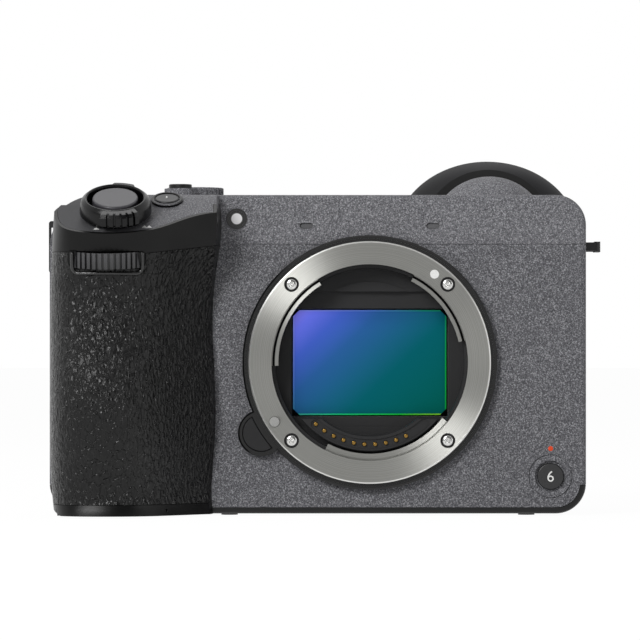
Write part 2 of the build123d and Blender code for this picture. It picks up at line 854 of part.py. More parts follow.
# Bayonet ring: turned steel plate with three claws, four screw seats, an index dot and the pin's hole
with BuildPart() as mount_ring:
    with BuildSketch(lens_plane(flange_y + ring_thick)):
        Circle(ring_radius)
        Circle(ring_bore, mode=Mode.SUBTRACT)
    extrude(amount=ring_thick)
    for start, end in claw_arcs:
        with BuildSketch(lens_plane(flange_y + claw_back)):
            with BuildLine():
                CenterArc((0, 0), claw_bore, start, end - start)
                CenterArc((0, 0), ring_bore + 0.2, start, end - start)
                for angle in (start, end):
                    PolarLine((claw_bore * cos(radians(angle)), claw_bore * sin(radians(angle))),
                              ring_bore + 0.2 - claw_bore, angle)
            make_face()
        extrude(amount=claw_back - claw_step)
        with BuildSketch(lens_plane(flange_y + claw_step)):
            with BuildLine():
                CenterArc((0, 0), ring_bore - claw_groove, start, end - start)
                CenterArc((0, 0), ring_bore, start, end - start)
                for angle in (start, end):
                    inner = ring_bore - claw_groove
                    PolarLine((inner * cos(radians(angle)), inner * sin(radians(angle))), claw_groove, angle)
            make_face()
        extrude(amount=-claw_groove, mode=Mode.SUBTRACT)
    chamfer(mount_ring.faces().sort_by(Axis.Y)[0].outer_wire().edges(), 0.3)
    with Locations(lens_plane(flange_y)):
        with PolarLocations(screw_circle, 4, start_angle=45):
            CounterBoreHole(screw_shank + slip, screw_head + 0.4, screw_head_height + 0.1, 2 * ring_thick)
        with PolarLocations(screw_circle, 1, start_angle=index_angle):
            Hole(1.1, 0.25)
        with PolarLocations(pin_circle, 1, start_angle=pin_angle):
            Hole(pin_radius + slip, 2 * ring_thick)
write(mount_ring, "mount_ring")

# Ring screws: four, countersunk flush, with a cross recess
with BuildPart() as mount_screws:
    with Locations(lens_plane(flange_y)):
        with PolarLocations(screw_circle, 4, start_angle=45):
            with Locations((0, 0, -0.1)):
                Cylinder(screw_head, screw_head_height, align=(Align.CENTER, Align.CENTER, Align.MAX))
            with Locations((0, 0, -0.1 - screw_head_height)):
                Cylinder(screw_shank, 4.5, align=(Align.CENTER, Align.CENTER, Align.MAX))
            with Locations((0, 0, -0.1)):
                Box(1.5, 0.4, 0.8, mode=Mode.SUBTRACT)
                Box(0.4, 1.5, 0.8, mode=Mode.SUBTRACT)
write(mount_screws, "mount_screws")

# Lens release button and the lock pin that drops with it
with BuildPart() as lens_release_button:
    with BuildSketch(lens_plane(front_y + wall + release_stroke)):
        add(release_shape_wide)
    extrude(amount=flange_thick)
    with BuildSketch(lens_plane(front_y + wall + release_stroke)):
        add(release_shape)
    extrude(amount=wall + release_stroke + collar_proud - 0.3)
    fillet(lens_release_button.faces().sort_by(Axis.Y)[0].edges(), 0.25)
write(lens_release_button, "lens_release_button")

with BuildPart() as lock_pin:
    with Locations(lens_plane(flange_y - 0.9)):
        with PolarLocations(pin_circle, 1, start_angle=pin_angle):
            Cylinder(pin_radius, 8.0, align=(Align.CENTER, Align.CENTER, Align.MAX))
    fillet(lock_pin.faces().sort_by(Axis.Y)[0].edges(), 0.3)
write(lock_pin, "lock_pin")

# Throat baffle: black tube behind the ring with a wide gate at its back
with BuildPart() as throat_baffle:
    with BuildSketch(lens_plane(shutter_y)):
        Circle(baffle_radius)
    extrude(amount=shutter_y - flange_y - claw_back - gap)
    with BuildSketch(lens_plane(shutter_y - 1.2)):
        Circle(baffle_radius - 0.8)
    extrude(amount=far, mode=Mode.SUBTRACT)
    with BuildSketch(lens_plane(shutter_y)):
        with Locations((0, (gate_top - gate_bottom) / 2)):
            Rectangle(2 * baffle_radius - 3.0, gate_top + gate_bottom)
    extrude(amount=1.2, mode=Mode.SUBTRACT)
    with BuildSketch(lens_plane(shutter_y - 1.2)):
        with Locations((0, brow_top - brow_radius)):
            Circle(brow_radius)
        with Locations((0, gate_top - baffle_radius)):
            Rectangle(2 * baffle_radius, 2 * baffle_radius, mode=Mode.SUBTRACT)
    extrude(amount=0.4)
write(throat_baffle, "throat_baffle")

# Contact block: a crescent across the foot of the throat, its ten gold pins in a sunk channel
with BuildPart() as contact_block:
    with BuildSketch(lens_plane(shutter_y - 1.2)):
        Circle(block_outer)
        Circle(block_inner, mode=Mode.SUBTRACT)
        with Locations((0, block_outer - block_top)):
            Rectangle(2 * block_outer, 2 * block_outer, mode=Mode.SUBTRACT)
    extrude(amount=shutter_y - 1.2 - contact_face + channel_depth)
    chamfer(contact_block.faces().sort_by(Axis.Y)[0].edges(), 0.2)
    with BuildSketch(lens_plane(contact_face - channel_depth)):
        with BuildLine():
            CenterArc((0, 0), contact_circle + channel_half, channel_start, channel_sweep)
            CenterArc((0, 0), contact_circle - channel_half, channel_start, channel_sweep)
            for angle in (channel_start, channel_start + channel_sweep):
                inner = contact_circle - channel_half
                PolarLine((inner * cos(radians(angle)), inner * sin(radians(angle))), 2 * channel_half, angle)
        make_face()
        with PolarLocations(contact_circle, 2, channel_start, channel_sweep, endpoint=True):
            Circle(channel_half)
    extrude(amount=-channel_depth, mode=Mode.SUBTRACT)
    with Locations(lens_plane(contact_face)):
        with PolarLocations(contact_circle, 10, contact_first, 9 * contact_pitch, endpoint=True):
            Hole(contact_radius + slip, 2.0)
write(contact_block, "contact_block")

with BuildPart() as contact_pins:
    with Locations(lens_plane(contact_face - 0.6)):
        with PolarLocations(contact_circle, 10, contact_first, 9 * contact_pitch, endpoint=True):
            Cylinder(contact_radius, 2.5, align=(Align.CENTER, Align.CENTER, Align.MAX))
    fillet(contact_pins.faces().filter_by(Axis.Y).group_by(Axis.Y)[0].edges(), 0.2)
write(contact_pins, "contact_pins")

# Shutter: a frame with side guides and two blades that rise across the gate
frame_x = shutter_boss_x + 3.0
blade_half = gate_width / 2 + 1.6
blade_high = gate_height / 2 + 1.2
blade_rest = mount_z - gate_height / 2 - 0.6
bar_high = 2.5
frame_z = gate_height / 2 + 0.6 + blade_high + gap + bar_high
with BuildPart() as shutter_frame:
    with BuildSketch(lens_plane(shutter_y + 1.2)):
        RectangleRounded(2 * frame_x, 2 * frame_z, 3.0)
        Rectangle(gate_width, gate_height, mode=Mode.SUBTRACT)
    extrude(amount=1.2)
    with BuildSketch(lens_plane(shutter_y + shutter_depth)):
        with Locations((-blade_half - 2.2, 0), (blade_half + 2.2, 0)):
            Rectangle(4.0, 2 * frame_z - 2 * bar_high)
    extrude(amount=shutter_depth - 1.2)
    with BuildSketch(lens_plane(shutter_y + shutter_depth)):
        with Locations((0, -frame_z + bar_high / 2), (0, frame_z - bar_high / 2)):
            Rectangle(2 * blade_half + 8.4, bar_high)
    extrude(amount=shutter_depth - 1.2)
write(shutter_frame, "shutter_frame")


def shutter_blade(number):
    """Blade of the given number, 0 in front: a thin plate with a folded stiffening lip."""
    back = shutter_y + 1.2 + 0.2 + (number + 1) * (blade_thick + 0.25)
    with BuildPart() as blade:
        with BuildSketch(facing(back)):
            with Locations((0, blade_rest - blade_high / 2)):
                RectangleRounded(2 * blade_half, blade_high, 1.0)
        extrude(amount=blade_thick)
    return blade


shutter_blade_front = shutter_blade(0)
write(shutter_blade_front, "shutter_blade_front")
shutter_blade_rear = shutter_blade(1)
write(shutter_blade_rear, "shutter_blade_rear")

# Sensor: filter glass, mask, imaging chip and the stage that the stabiliser shifts
image_y = flange_y + flange_depth
with BuildPart() as sensor_filter:
    with BuildSketch(lens_plane(image_y - 0.8)):
        RectangleRounded(glass_width, glass_height, 0.5)
    extrude(amount=1.6)
write(sensor_filter, "sensor_filter")

with BuildPart() as sensor_mask:
    with BuildSketch(lens_plane(image_y - 0.8)):
        Rectangle(glass_width + 6.0, glass_height + 6.0)
        Rectangle(glass_width + 2 * slip, glass_height + 2 * slip, mode=Mode.SUBTRACT)
    extrude(amount=1.0)
write(sensor_mask, "sensor_mask")

with BuildPart() as image_sensor:
    with BuildSketch(lens_plane(image_y + 0.6)):
        Rectangle(glass_width + 5.0, glass_height + 5.0)
    extrude(amount=1.4)
write(image_sensor, "image_sensor")

with BuildPart() as sensor_stage:
    with BuildSketch(lens_plane(image_y + 1.8)):
        RectangleRounded(glass_width + 14.0, glass_height + 16.0, 2.0)
    extrude(amount=1.2)
    with BuildSketch(lens_plane(image_y + 1.8)):
        with Locations((-15.0, -17.5), (15.0, -17.5), (23.0, 0)):
            Circle(2.5)
    extrude(amount=-0.6)
write(sensor_stage, "sensor_stage")

with BuildPart() as stabiliser_carriage:
    with BuildSketch(lens_plane(chassis_rear - chassis_wall - gap)):
        RectangleRounded(glass_width + 16.0, glass_height + 18.0, 2.0)
        Rectangle(glass_width - 6.0, glass_height - 6.0, mode=Mode.SUBTRACT)
    extrude(amount=chassis_rear - chassis_wall - gap - (image_y + 1.8 + 0.6 + gap))
write(stabiliser_carriage, "stabiliser_carriage")

# Main board on four posts behind the chassis, with its shielded chips
with BuildPart() as main_board:
    with BuildSketch(facing(chassis_rear + board_gap + board_thick)):
        with Locations((0, board_mid_z)):
            RectangleRounded(2 * post_x + 6.0, 2 * post_z + 6.0, 1.5)
    extrude(amount=board_thick)
    for x, z, wide, tall, high in board_chips:
        with BuildSketch(facing(chassis_rear + board_gap + board_thick)):
            with Locations((x, board_mid_z + z)):
                Rectangle(wide, tall)
        extrude(amount=-high)
write(main_board, "main_board")

# Battery in its bay, and the slot unit for two cards beside it
with BuildPart() as battery:
    slab(
        battery_left, battery_right, battery_front, battery_rear, battery_low, battery_high
    )
    fillet(battery.edges().filter_by(Axis.Z), 1.5)
    with BuildSketch(Plane.XY.offset(battery_low)):
        with Locations((battery_x, battery_rear - 5.0)):
            with GridLocations(3.5, 1, 4, 1):
                Rectangle(1.6, 4.0)
    extrude(amount=0.6, mode=Mode.SUBTRACT)
write(battery, "battery")

card_x = body_left + 2 * wall + gap
card_z = (card_door_low + card_door_high) / 2
card_y = battery_rear + battery_clear + gap
with BuildPart() as card_slots:
    slab(
        card_x,
        card_x + card_size[0],
        card_y,
        card_y + card_size[1],
        card_z - card_size[2] / 2,
        card_z + card_size[2] / 2,
    )
    with BuildSketch(Plane.YZ.offset(card_x)):
        with Locations((card_y + card_size[1] / 2, card_z)):
            with GridLocations(card_size[1] / 2, 1, 2, 1):
                Rectangle(2.1, card_size[2] - 3.6)
    extrude(amount=card_size[0] - 2.0, mode=Mode.SUBTRACT)
write(card_slots, "card_slots")


def hinged_door(hinge, x_out, low, high, swing_to, thickness):
    """Door in a side wall: a plate from its hinge line to swing_to with a barrel along the hinge."""
    hinge_in = x_out - thickness / 2 if x_out > 0 else x_out + thickness / 2
    y0 = min(hinge, swing_to)
    y1 = max(hinge, swing_to)
    with BuildPart() as door:
        slab(hinge_in - thickness / 2, hinge_in + thickness / 2, y0, y1, low, high)
        with BuildSketch(Plane.XY.offset(low)):
            with Locations((hinge_in, hinge)):
                Circle(thickness / 2)
        extrude(amount=high - low)
    return door


card_door = hinged_door(card_door_rear, body_left, card_door_low, card_door_high, card_door_front, wall)
write(card_door, "card_door")
socket_door_lower = hinged_door(
    socket_front, body_right, socket_low + 2 * gap, socket_middle - 2 * gap, socket_rear, wall
)
write(socket_door_lower, "socket_door_lower")
socket_door_upper = hinged_door(
    socket_front, body_right, socket_middle + 2 * gap, socket_high - 2 * gap, socket_rear, wall
)
write(socket_door_upper, "socket_door_upper")

# Socket block behind the doors: two round jacks, a wide video socket and a small data socket
socket_x = body_right - wall - gap
socket_y = (socket_front + socket_rear) / 2
with BuildPart() as socket_block:
    slab(
        chassis_half + gap,
        socket_x,
        socket_front + gap,
        socket_rear - gap,
        socket_low + gap,
        socket_high - gap,
    )
    with BuildSketch(Plane.YZ.offset(socket_x)):
        with Locations((socket_y, socket_middle + 5.5), (socket_y, socket_middle + 15.5)):
            Circle(1.8)
        with Locations((socket_y, socket_low + 8.0)):
            Rectangle(4.6, 14.0)
        with Locations((socket_y, socket_low + 19.0)):
            SlotOverall(8.4, 2.7)
    extrude(amount=-9.0, mode=Mode.SUBTRACT)
    with BuildSketch(Plane.YZ.offset(socket_x - 9.0)):
        with Locations((socket_y, socket_low + 8.0)):
            Rectangle(1.0, 11.5)
    extrude(amount=8.0)
write(socket_block, "socket_block")

# Battery door under the grip, hinged at its back edge, with a sliding latch
door_mid_x = (door_left + door_right) / 2
with BuildPart() as battery_door:
    slab(door_left, door_right, door_front, door_hinge_y, foot_height, foot_height + door_thick)
    with BuildSketch(barrel_axis.offset(gap)):
        Circle(barrel_radius)
    extrude(amount=door_right - door_left)
    slab(
        door_mid_x - latch_size[0] / 2 - slip,
        door_mid_x + latch_size[0] / 2 + latch_travel + slip,
        latch_y - latch_size[1] / 2 - slip,
        latch_y + latch_size[1] / 2 + slip,
        foot_height - slip,
        foot_height + latch_size[2] + slip,
        mode=Mode.SUBTRACT,
    )
write(battery_door, "battery_door")

with BuildPart() as battery_latch:
    slab(
        door_mid_x - latch_size[0] / 2,
        door_mid_x + latch_size[0] / 2,
        latch_y - latch_size[1] / 2,
        latch_y + latch_size[1] / 2,
        foot_height,
        foot_height + latch_size[2],
    )
    with BuildSketch(Plane.XY.offset(foot_height)):
        with Locations((door_mid_x, latch_y)):
            with GridLocations(1.2, 1, 5, 1):
                Rectangle(0.5, latch_size[1] - 1.2)
    extrude(amount=0.3, mode=Mode.SUBTRACT)
write(battery_latch, "battery_latch")

# Threaded bushes: the tripod socket in the base and two accessory sockets in the top plate
with BuildPart() as thread_bushes:
    with BuildSketch(Plane.XY):
        Circle(bush_radius)
        Circle(thread_radius, mode=Mode.SUBTRACT)
    extrude(amount=bush_height)
    with BuildSketch(Plane.XY.offset(body_height)):
        with Locations(*top_bush_places):
            Circle(bush_radius)
            Circle(thread_radius, mode=Mode.SUBTRACT)
    extrude(amount=-thread_depth)
    with BuildSketch(Plane.XY.offset(bush_height - 1.0)):
        Circle(bush_radius)
    extrude(amount=1.0)
    with BuildSketch(Plane.XY.offset(body_height - thread_depth + 1.0)):
        with Locations(*top_bush_places):
            Circle(bush_radius)
    extrude(amount=-1.0)
write(thread_bushes, "thread_bushes")

# Small screws that hold the bottom plate and the side of the rear cover
with BuildPart() as housing_screws:
    with Locations(Plane.XY.offset(foot_height + 0.1)):
        with Locations(*screw_places):
            Cylinder(1.5, 0.6, align=(Align.CENTER, Align.CENTER, Align.MIN))
            with Locations((0, 0, 0.6)):
                Cylinder(0.8, 3.4, align=(Align.CENTER, Align.CENTER, Align.MIN))
            Box(1.7, 0.4, 0.6, mode=Mode.SUBTRACT)
            Box(0.4, 1.7, 0.6, mode=Mode.SUBTRACT)
write(housing_screws, "housing_screws")

# Strap lugs: a loop on each end of the body
with BuildPart() as strap_lugs:
    with BuildSketch(Plane.XY.offset(lug_z - lug_thick / 2)):
        with Locations((body_right, lug_y)):
            RectangleRounded(2 * lug_out, lug_long, 1.2)
            Rectangle(2 * lug_out - 2.8, lug_long - 3.2, mode=Mode.SUBTRACT)
    extrude(amount=lug_thick)
    slab(
        body_right + lug_out - 1.4,
        body_right + lug_out,
        lug_y - lug_long / 2 + 1.2,
        lug_y + lug_long / 2 - 1.2,
        lug_z - lug_thick / 2 - 0.2,
        lug_z + lug_thick / 2 + 0.2,
    )
    slab(0, body_right, -far, far, 0, body_height, mode=Mode.SUBTRACT)
    with BuildSketch(facing(lug_y + lug_thick / 2)):
        with Locations((body_left + 1.0, lug_z)):
            RectangleRounded(4.0, 12.7, 0.7)
        with Locations((body_left, lug_z)):
            Rectangle(1.0, 9.5, mode=Mode.SUBTRACT)
    extrude(amount=lug_thick)
    add(body_outer, mode=Mode.SUBTRACT)
write(strap_lugs, "strap_lugs")

# Hot shoe: sprung steel rails in the recess of the top plate, open to the back
shoe_floor = body_height - shoe_depth
rail_width = (shoe_width - shoe_gap) / 2
with BuildPart() as hot_shoe:
    slab(
        shoe_x - shoe_width / 2 + slip,
        shoe_x + shoe_width / 2 - slip,
        shoe_front + slip,
        rear_y - edge_round,
        shoe_floor,
        shoe_floor + 0.8,
    )
    for side in (-1, 1):
        edge = shoe_x + side * (shoe_width / 2 - slip)
        inner = edge - side * 0.8
        lip = edge - side * rail_width
        near, away = sorted((edge, inner))
        slab(near, away, shoe_front + slip, rear_y - edge_round, shoe_floor, body_height)
        slab(
            min(edge, lip),
            max(edge, lip),
            shoe_front + slip,
            rear_y - edge_round,
            body_height - shoe_rail,
            body_height,
        )
    slab(
        shoe_x - shoe_width / 2 + slip,
        shoe_x + shoe_width / 2 - slip,
        shoe_front + slip,
        shoe_front + 1.2,
        shoe_floor,
        body_height,
    )
write(hot_shoe, "hot_shoe")

# Focus lamp: a pale lens in a black bezel
with BuildPart() as focus_lamp:
    with BuildSketch(lamp_plane.offset(-1.2)):
        Circle(lamp_radius)
    extrude(amount=1.3)
    with BuildSketch(lamp_plane.offset(0.1)):
        Circle(lamp_radius - 0.5)
        Circle(1.5, mode=Mode.SUBTRACT)
    extrude(amount=-0.5, mode=Mode.SUBTRACT)
    fillet(focus_lamp.faces().sort_by(Axis.Y)[0].edges(), 0.05)
write(focus_lamp, "focus_lamp")

# Shutter button and the zoom lever round it, tilted with the shoulder
with BuildPart() as zoom_lever:
    with BuildSketch(lever_plane.offset(slip)):
        Circle(lever_radius)
    extrude(amount=lever_height - slip)
    chamfer(zoom_lever.faces().sort_by(Axis(lever_plane.origin, lever_plane.z_dir))[-1].edges(), 0.9)
    with BuildSketch(lever_plane.offset(1.0)):
        with Locations((lever_tab_x, -lever_radius)):
            RectangleRounded(9.2, 2.6, 0.8)
        with Locations((lever_tab_x, -lever_radius - 1.1)):
            with GridLocations(1.9, 1, 5, 1):
                Circle(0.7)
    extrude(amount=lever_height - 1.0)
    with BuildSketch(lever_plane.offset(lever_height - 0.8)):
        with Locations((lever_tab_x + 0.8, lever_radius - 0.5)):
            RectangleRounded(5.2, 1.8, 0.6)
    extrude(amount=0.8)
    with Locations(lever_plane.offset(lever_height)):
        Hole(lever_bore, 2 * lever_height)
write(zoom_lever, "zoom_lever")

with BuildPart() as shutter_button:
    with BuildSketch(lever_plane.offset(-deck_thick)):
        Circle(shutter_radius)
    extrude(amount=deck_thick + lever_height)
    fillet(shutter_button.faces().sort_by(Axis(lever_plane.origin, lever_plane.z_dir))[-1].edges(), 0.5)
write(shutter_button, "shutter_button")

# Front dial in its pocket, and the rear dial
front_dial = knurled_wheel(dial_plane, dial_radius, dial_thick, 44, dial_shaft, dial_shaft_length)
write(front_dial, "front_dial")
rear_dial = knurled_wheel(
    rear_dial_plane, rear_dial_radius, rear_dial_thick, 36, rear_dial_shaft, rear_dial_shaft_length
)
write(rear_dial, "rear_dial")

# Top dial on its shaft
with BuildPart() as top_dial:
    with BuildSketch(top_dial_plane.offset(0.2)):
        Circle(top_dial_radius - 0.3)
        with PolarLocations(top_dial_radius - 0.3, 32):
            Rectangle(0.6, 0.7)
    extrude(amount=top_dial_height)
    chamfer(top_dial.faces().sort_by(Axis.Z)[-1].edges(), 0.2)
    with BuildSketch(top_dial_plane.offset(-3.0)):
        Circle(top_dial_shaft)
    extrude(amount=3.2)
write(top_dial, "top_dial")

# Push buttons: on the shoulder, the top plate, the front and the back
grip_button = push_button(grip_button_plane, grip_button_radius, 0.9, deck_thick + 0.3)
write(grip_button, "grip_button")
record_button = push_button(record_plane, record_radius, record_collar_height + 1.1, wall)
write(record_button, "record_button")
front_button = push_button(front_button_plane, front_button_radius, -0.1, wall)
write(front_button, "front_button")
menu_button = push_button(menu_plane, rear_button_radius, 0.8, wall)
write(menu_button, "menu_button")
focus_button = push_button(focus_plane, rear_button_radius, 0.8, wall)
write(focus_button, "focus_button")
play_button = push_button(play_plane, rear_button_radius, 0.8, wall)
write(play_button, "play_button")
wheel_plane = rear_point(wheel_x, wheel_z)
centre_button = push_button(wheel_plane, centre_radius - slip, 1.2, wall)
write(centre_button, "centre_button")

# Control wheel: a ridged ring round the centre button
with BuildPart() as control_wheel:
    with BuildSketch(wheel_plane.offset(-1.0 + slip)):
        Circle(wheel_radius)
        Circle(centre_radius + gap, mode=Mode.SUBTRACT)
    extrude(amount=2.2)
    chamfer(control_wheel.faces().sort_by(Axis.Y)[-1].edges(), 0.4)
    with BuildSketch(wheel_plane.offset(1.2 + slip)):
        with PolarLocations((wheel_radius + centre_radius) / 2 + 1.0, 36):
            Rectangle(3.0, 0.6)
    extrude(amount=-0.3, mode=Mode.SUBTRACT)
write(control_wheel, "control_wheel")

# Joystick: a dished cap on a stem that tilts on a ball behind the wall
with BuildPart() as joystick:
    with BuildSketch(rear_point(joystick_x, joystick_z).offset(1.0)):
        Circle(joystick_radius)
    extrude(amount=1.4)
    fillet(joystick.edges(), 0.4)
    with BuildSketch(rear_point(joystick_x, joystick_z).offset(-wall - 0.4)):
        Circle(1.4)
    extrude(amount=wall + 1.6)
    with Locations((joystick_x, rear_y - wall - ball_depth, joystick_z)):
        Sphere(ball_radius)
write(joystick, "joystick")

# Viewfinder: ears on the back, a barrel with a ball front that tilts up between them
finder_axis = Plane(origin=(finder_x, finder_axis_y, finder_z), x_dir=(0, 1, 0), z_dir=(1, 0, 0))
ear_inner = finder_radius + gap
ear_thick = 2.9
ear_radius = 7.0
bracket_plate = 1.6
bracket_notch = sqrt(ear_inner**2 - (finder_axis_y - rear_y - bracket_plate) ** 2) + gap
with BuildPart() as finder_bracket:
    slab(
        finder_x - ear_inner - ear_thick,
        finder_x + ear_inner + ear_thick,
        rear_y,
        rear_y + bracket_plate,
        finder_z - ear_radius,
        finder_z + ear_radius,
    )
    for side in (-1, 1):
        near = finder_x + side * ear_inner
        start = near if side > 0 else near - ear_thick
        with BuildSketch(Plane.YZ.offset(start)):
            with Locations((finder_axis_y, finder_z)):
                Circle(ear_radius)
            with Locations(((finder_axis_y + rear_y) / 2, finder_z)):
                Rectangle(finder_axis_y - rear_y, 2 * ear_radius)
        extrude(amount=ear_thick)
    with Locations((finder_x, finder_axis_y, finder_z)):
        Sphere(finder_radius + gap, mode=Mode.SUBTRACT)
    slab(
        finder_x - bracket_notch,
        finder_x + bracket_notch,
        rear_y - 1,
        rear_y + bracket_plate + 1,
        finder_z,
        finder_z + ear_radius + 1,
        mode=Mode.SUBTRACT,
    )
    with Locations(finder_axis.offset(ear_inner + ear_thick + 1)):
        Hole(pivot_radius + slip, 2 * ear_inner + 2 * ear_thick + 2)
write(finder_bracket, "finder_bracket")

with BuildPart() as finder_barrel:
    with BuildSketch(finder_plane(barrel_rear)):
        Circle(finder_radius)
    extrude(amount=barrel_rear - finder_axis_y)
    with Locations((finder_x, finder_axis_y, finder_z)):
        Sphere(finder_radius)
    split(bisect_by=facing(barrel_rear), keep=Keep.TOP)
    with BuildSketch(finder_plane(barrel_rear)):
        Circle(finder_radius - 2.0)
    extrude(amount=barrel_rear - finder_axis_y + 4.0, mode=Mode.SUBTRACT)
    with BuildSketch(finder_axis.offset(-ear_inner - ear_thick)):
        Circle(pivot_radius)
    extrude(amount=ear_thick + 3.0)
    with BuildSketch(finder_axis.offset(ear_inner + ear_thick)):
        Circle(pivot_radius)
    extrude(amount=-ear_thick - 3.0)
write(finder_barrel, "finder_barrel")


def finder_section(wide, upper, lower, y):
    """Oval section of the eyecup: an upper and a lower half ellipse of the same width."""
    with BuildSketch(finder_plane(y)) as section:
        with BuildLine():
            EllipticalCenterArc((0, 0), wide, upper, 0, arc_size=180)
            EllipticalCenterArc((0, 0), wide, lower, 180, arc_size=180)
        make_face()
    return section.sketch


with BuildPart() as eyepiece_frame:
    with BuildSketch(finder_plane(cup_front)):
        Circle(finder_radius + 2.1)
        RectangleRounded(2 * lens_half_x + 2 * slip, 2 * lens_half_z + 2 * slip, 5.0, mode=Mode.SUBTRACT)
    extrude(amount=cup_front - barrel_rear)
    with BuildSketch(diopter_plane.offset(-diopter_thick - 2.0)):
        Circle(diopter_radius + gap)
    extrude(amount=diopter_thick + 6.0, mode=Mode.SUBTRACT)
    with Locations(diopter_plane):
        Hole(0.8 + slip, 8.0)
write(eyepiece_frame, "eyepiece_frame")

with BuildPart() as eyepiece_lens:
    with BuildSketch(finder_plane(cup_front - 0.6)):
        RectangleRounded(2 * lens_half_x, 2 * lens_half_z, 5.0 - slip)
    extrude(amount=2.6)
write(eyepiece_lens, "eyepiece_lens")

# Eyecup: rubber funnel that widens to the back, flatter below than above
with BuildPart() as eyecup:
    loft(
        sections=[
            finder_section(finder_radius + 2.0, finder_radius + 2.0, finder_radius + 0.5, cup_front),
            finder_section(cup_wide - 1.6, cup_upper - 1.0, cup_lower - 0.6, (cup_front + finder_rear) / 2),
            finder_section(cup_wide, cup_upper, cup_lower, finder_rear),
        ]
    )
    loft(
        sections=[
            finder_section(lens_half_x + 1.5, lens_half_z + 2.5, lens_half_z + 1.5, cup_front - slip),
            finder_section(cup_wide - 2.4, cup_upper - 2.4, cup_lower - 2.4, finder_rear + slip),
        ],
        mode=Mode.SUBTRACT,
    )
write(eyecup, "eyecup")

with BuildPart() as diopter_wheel:
    with BuildSketch(diopter_plane.offset(-diopter_thick)):
        Circle(diopter_radius - 0.2)
        with PolarLocations(diopter_radius - 0.2, 20):
            Rectangle(0.4, 0.4)
    extrude(amount=diopter_thick)
    with BuildSketch(diopter_plane.offset(-diopter_thick - 3.0)):
        Circle(0.8)
    extrude(amount=3.0)
write(diopter_wheel, "diopter_wheel")

# Monitor: housing with its glass, on an arm that turns about a pin at the body's edge
monitor_right = hinge_x - hinge_radius - 0.9
monitor_y = monitor_seat + gap
monitor_mid_x = (monitor_left + monitor_right) / 2
monitor_mid_z = monitor_bottom + monitor_height / 2
arm_half = 11.0
arm_depth = 7.0
arm_thick = 3.6
with BuildPart() as monitor_housing:
    with BuildSketch(facing(monitor_y + monitor_thick)):
        with Locations((monitor_mid_x, monitor_mid_z)):
            RectangleRounded(monitor_right - monitor_left, monitor_height, 3.0)
    extrude(amount=monitor_thick)
    fillet(monitor_housing.faces().filter_by(Axis.Y).edges(), 0.8)
    with BuildSketch(facing(monitor_y + monitor_thick)):
        with Locations((monitor_mid_x, monitor_mid_z)):
            RectangleRounded(glass_wide + 2 * slip, glass_tall + 2 * slip, 1.5)
    extrude(amount=monitor_glass_thick + slip, mode=Mode.SUBTRACT)
    slab(
        monitor_right - arm_depth - slip,
        monitor_right + 1.0,
        hinge_y - arm_thick / 2 - slip,
        hinge_y + arm_thick / 2 + slip,
        monitor_mid_z - arm_half - slip,
        monitor_mid_z + arm_half + slip,
        mode=Mode.SUBTRACT,
    )
write(monitor_housing, "monitor_housing")

with BuildPart() as monitor_glass:
    with BuildSketch(facing(monitor_y + monitor_thick)):
        with Locations((monitor_mid_x, monitor_mid_z)):
            RectangleRounded(glass_wide, glass_tall, 1.5)
    extrude(amount=monitor_glass_thick)
write(monitor_glass, "monitor_glass")

with BuildPart() as monitor_arm:
    with BuildSketch(Plane.XY.offset(hinge_low + gap / 2)):
        with Locations((hinge_x, hinge_y)):
            Circle(hinge_radius)
    extrude(amount=hinge_high - hinge_low - gap)
    slab(
        monitor_right - arm_depth,
        hinge_x,
        hinge_y - arm_thick / 2,
        hinge_y + arm_thick / 2,
        monitor_mid_z - arm_half,
        monitor_mid_z + arm_half,
    )
    with BuildSketch(Plane.XY.offset(hinge_low - pin_reach)):
        with Locations((hinge_x, hinge_y)):
            Circle(hinge_pin)
    extrude(amount=hinge_high - hinge_low + 2 * pin_reach)
write(monitor_arm, "monitor_arm")
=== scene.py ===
import math

import bmesh
import bpy
import numpy as np
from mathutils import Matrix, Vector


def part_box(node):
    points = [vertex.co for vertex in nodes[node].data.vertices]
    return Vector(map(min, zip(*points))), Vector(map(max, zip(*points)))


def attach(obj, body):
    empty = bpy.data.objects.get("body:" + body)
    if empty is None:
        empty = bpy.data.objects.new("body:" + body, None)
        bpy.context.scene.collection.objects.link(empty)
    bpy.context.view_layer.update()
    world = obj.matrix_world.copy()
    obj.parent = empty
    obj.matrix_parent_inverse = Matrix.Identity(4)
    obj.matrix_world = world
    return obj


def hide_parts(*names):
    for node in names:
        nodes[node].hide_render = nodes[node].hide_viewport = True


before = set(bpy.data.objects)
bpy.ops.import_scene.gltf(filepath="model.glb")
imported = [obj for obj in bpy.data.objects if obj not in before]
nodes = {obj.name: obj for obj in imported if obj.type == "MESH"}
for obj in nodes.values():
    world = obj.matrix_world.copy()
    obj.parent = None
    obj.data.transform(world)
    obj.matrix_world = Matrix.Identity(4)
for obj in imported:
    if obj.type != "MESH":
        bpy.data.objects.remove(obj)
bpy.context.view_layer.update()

# Viewpoint and lamps: a long lens looks straight at the front cover. A soft key stands at the upper left, a weak
# fill at the right, and a wide panel behind the viewpoint shines into the throat.
scene = bpy.context.scene
scene.view_settings.view_transform = "Standard"
lens_axis = 0.0369
front_y = -0.0195
view_distance = 1.1
eye = bpy.data.objects.new("viewpoint", bpy.data.cameras.new("viewpoint"))
scene.collection.objects.link(eye)
eye.location = (0.0, front_y - view_distance, lens_axis)
eye.rotation_euler = (math.pi / 2, 0.0, 0.0)
eye.data.sensor_width = 36.0
eye.data.lens = 256.2
eye.data.shift_x = -0.0776
eye.data.shift_y = 0.0664
eye.data.clip_start = 0.05
scene.camera = eye


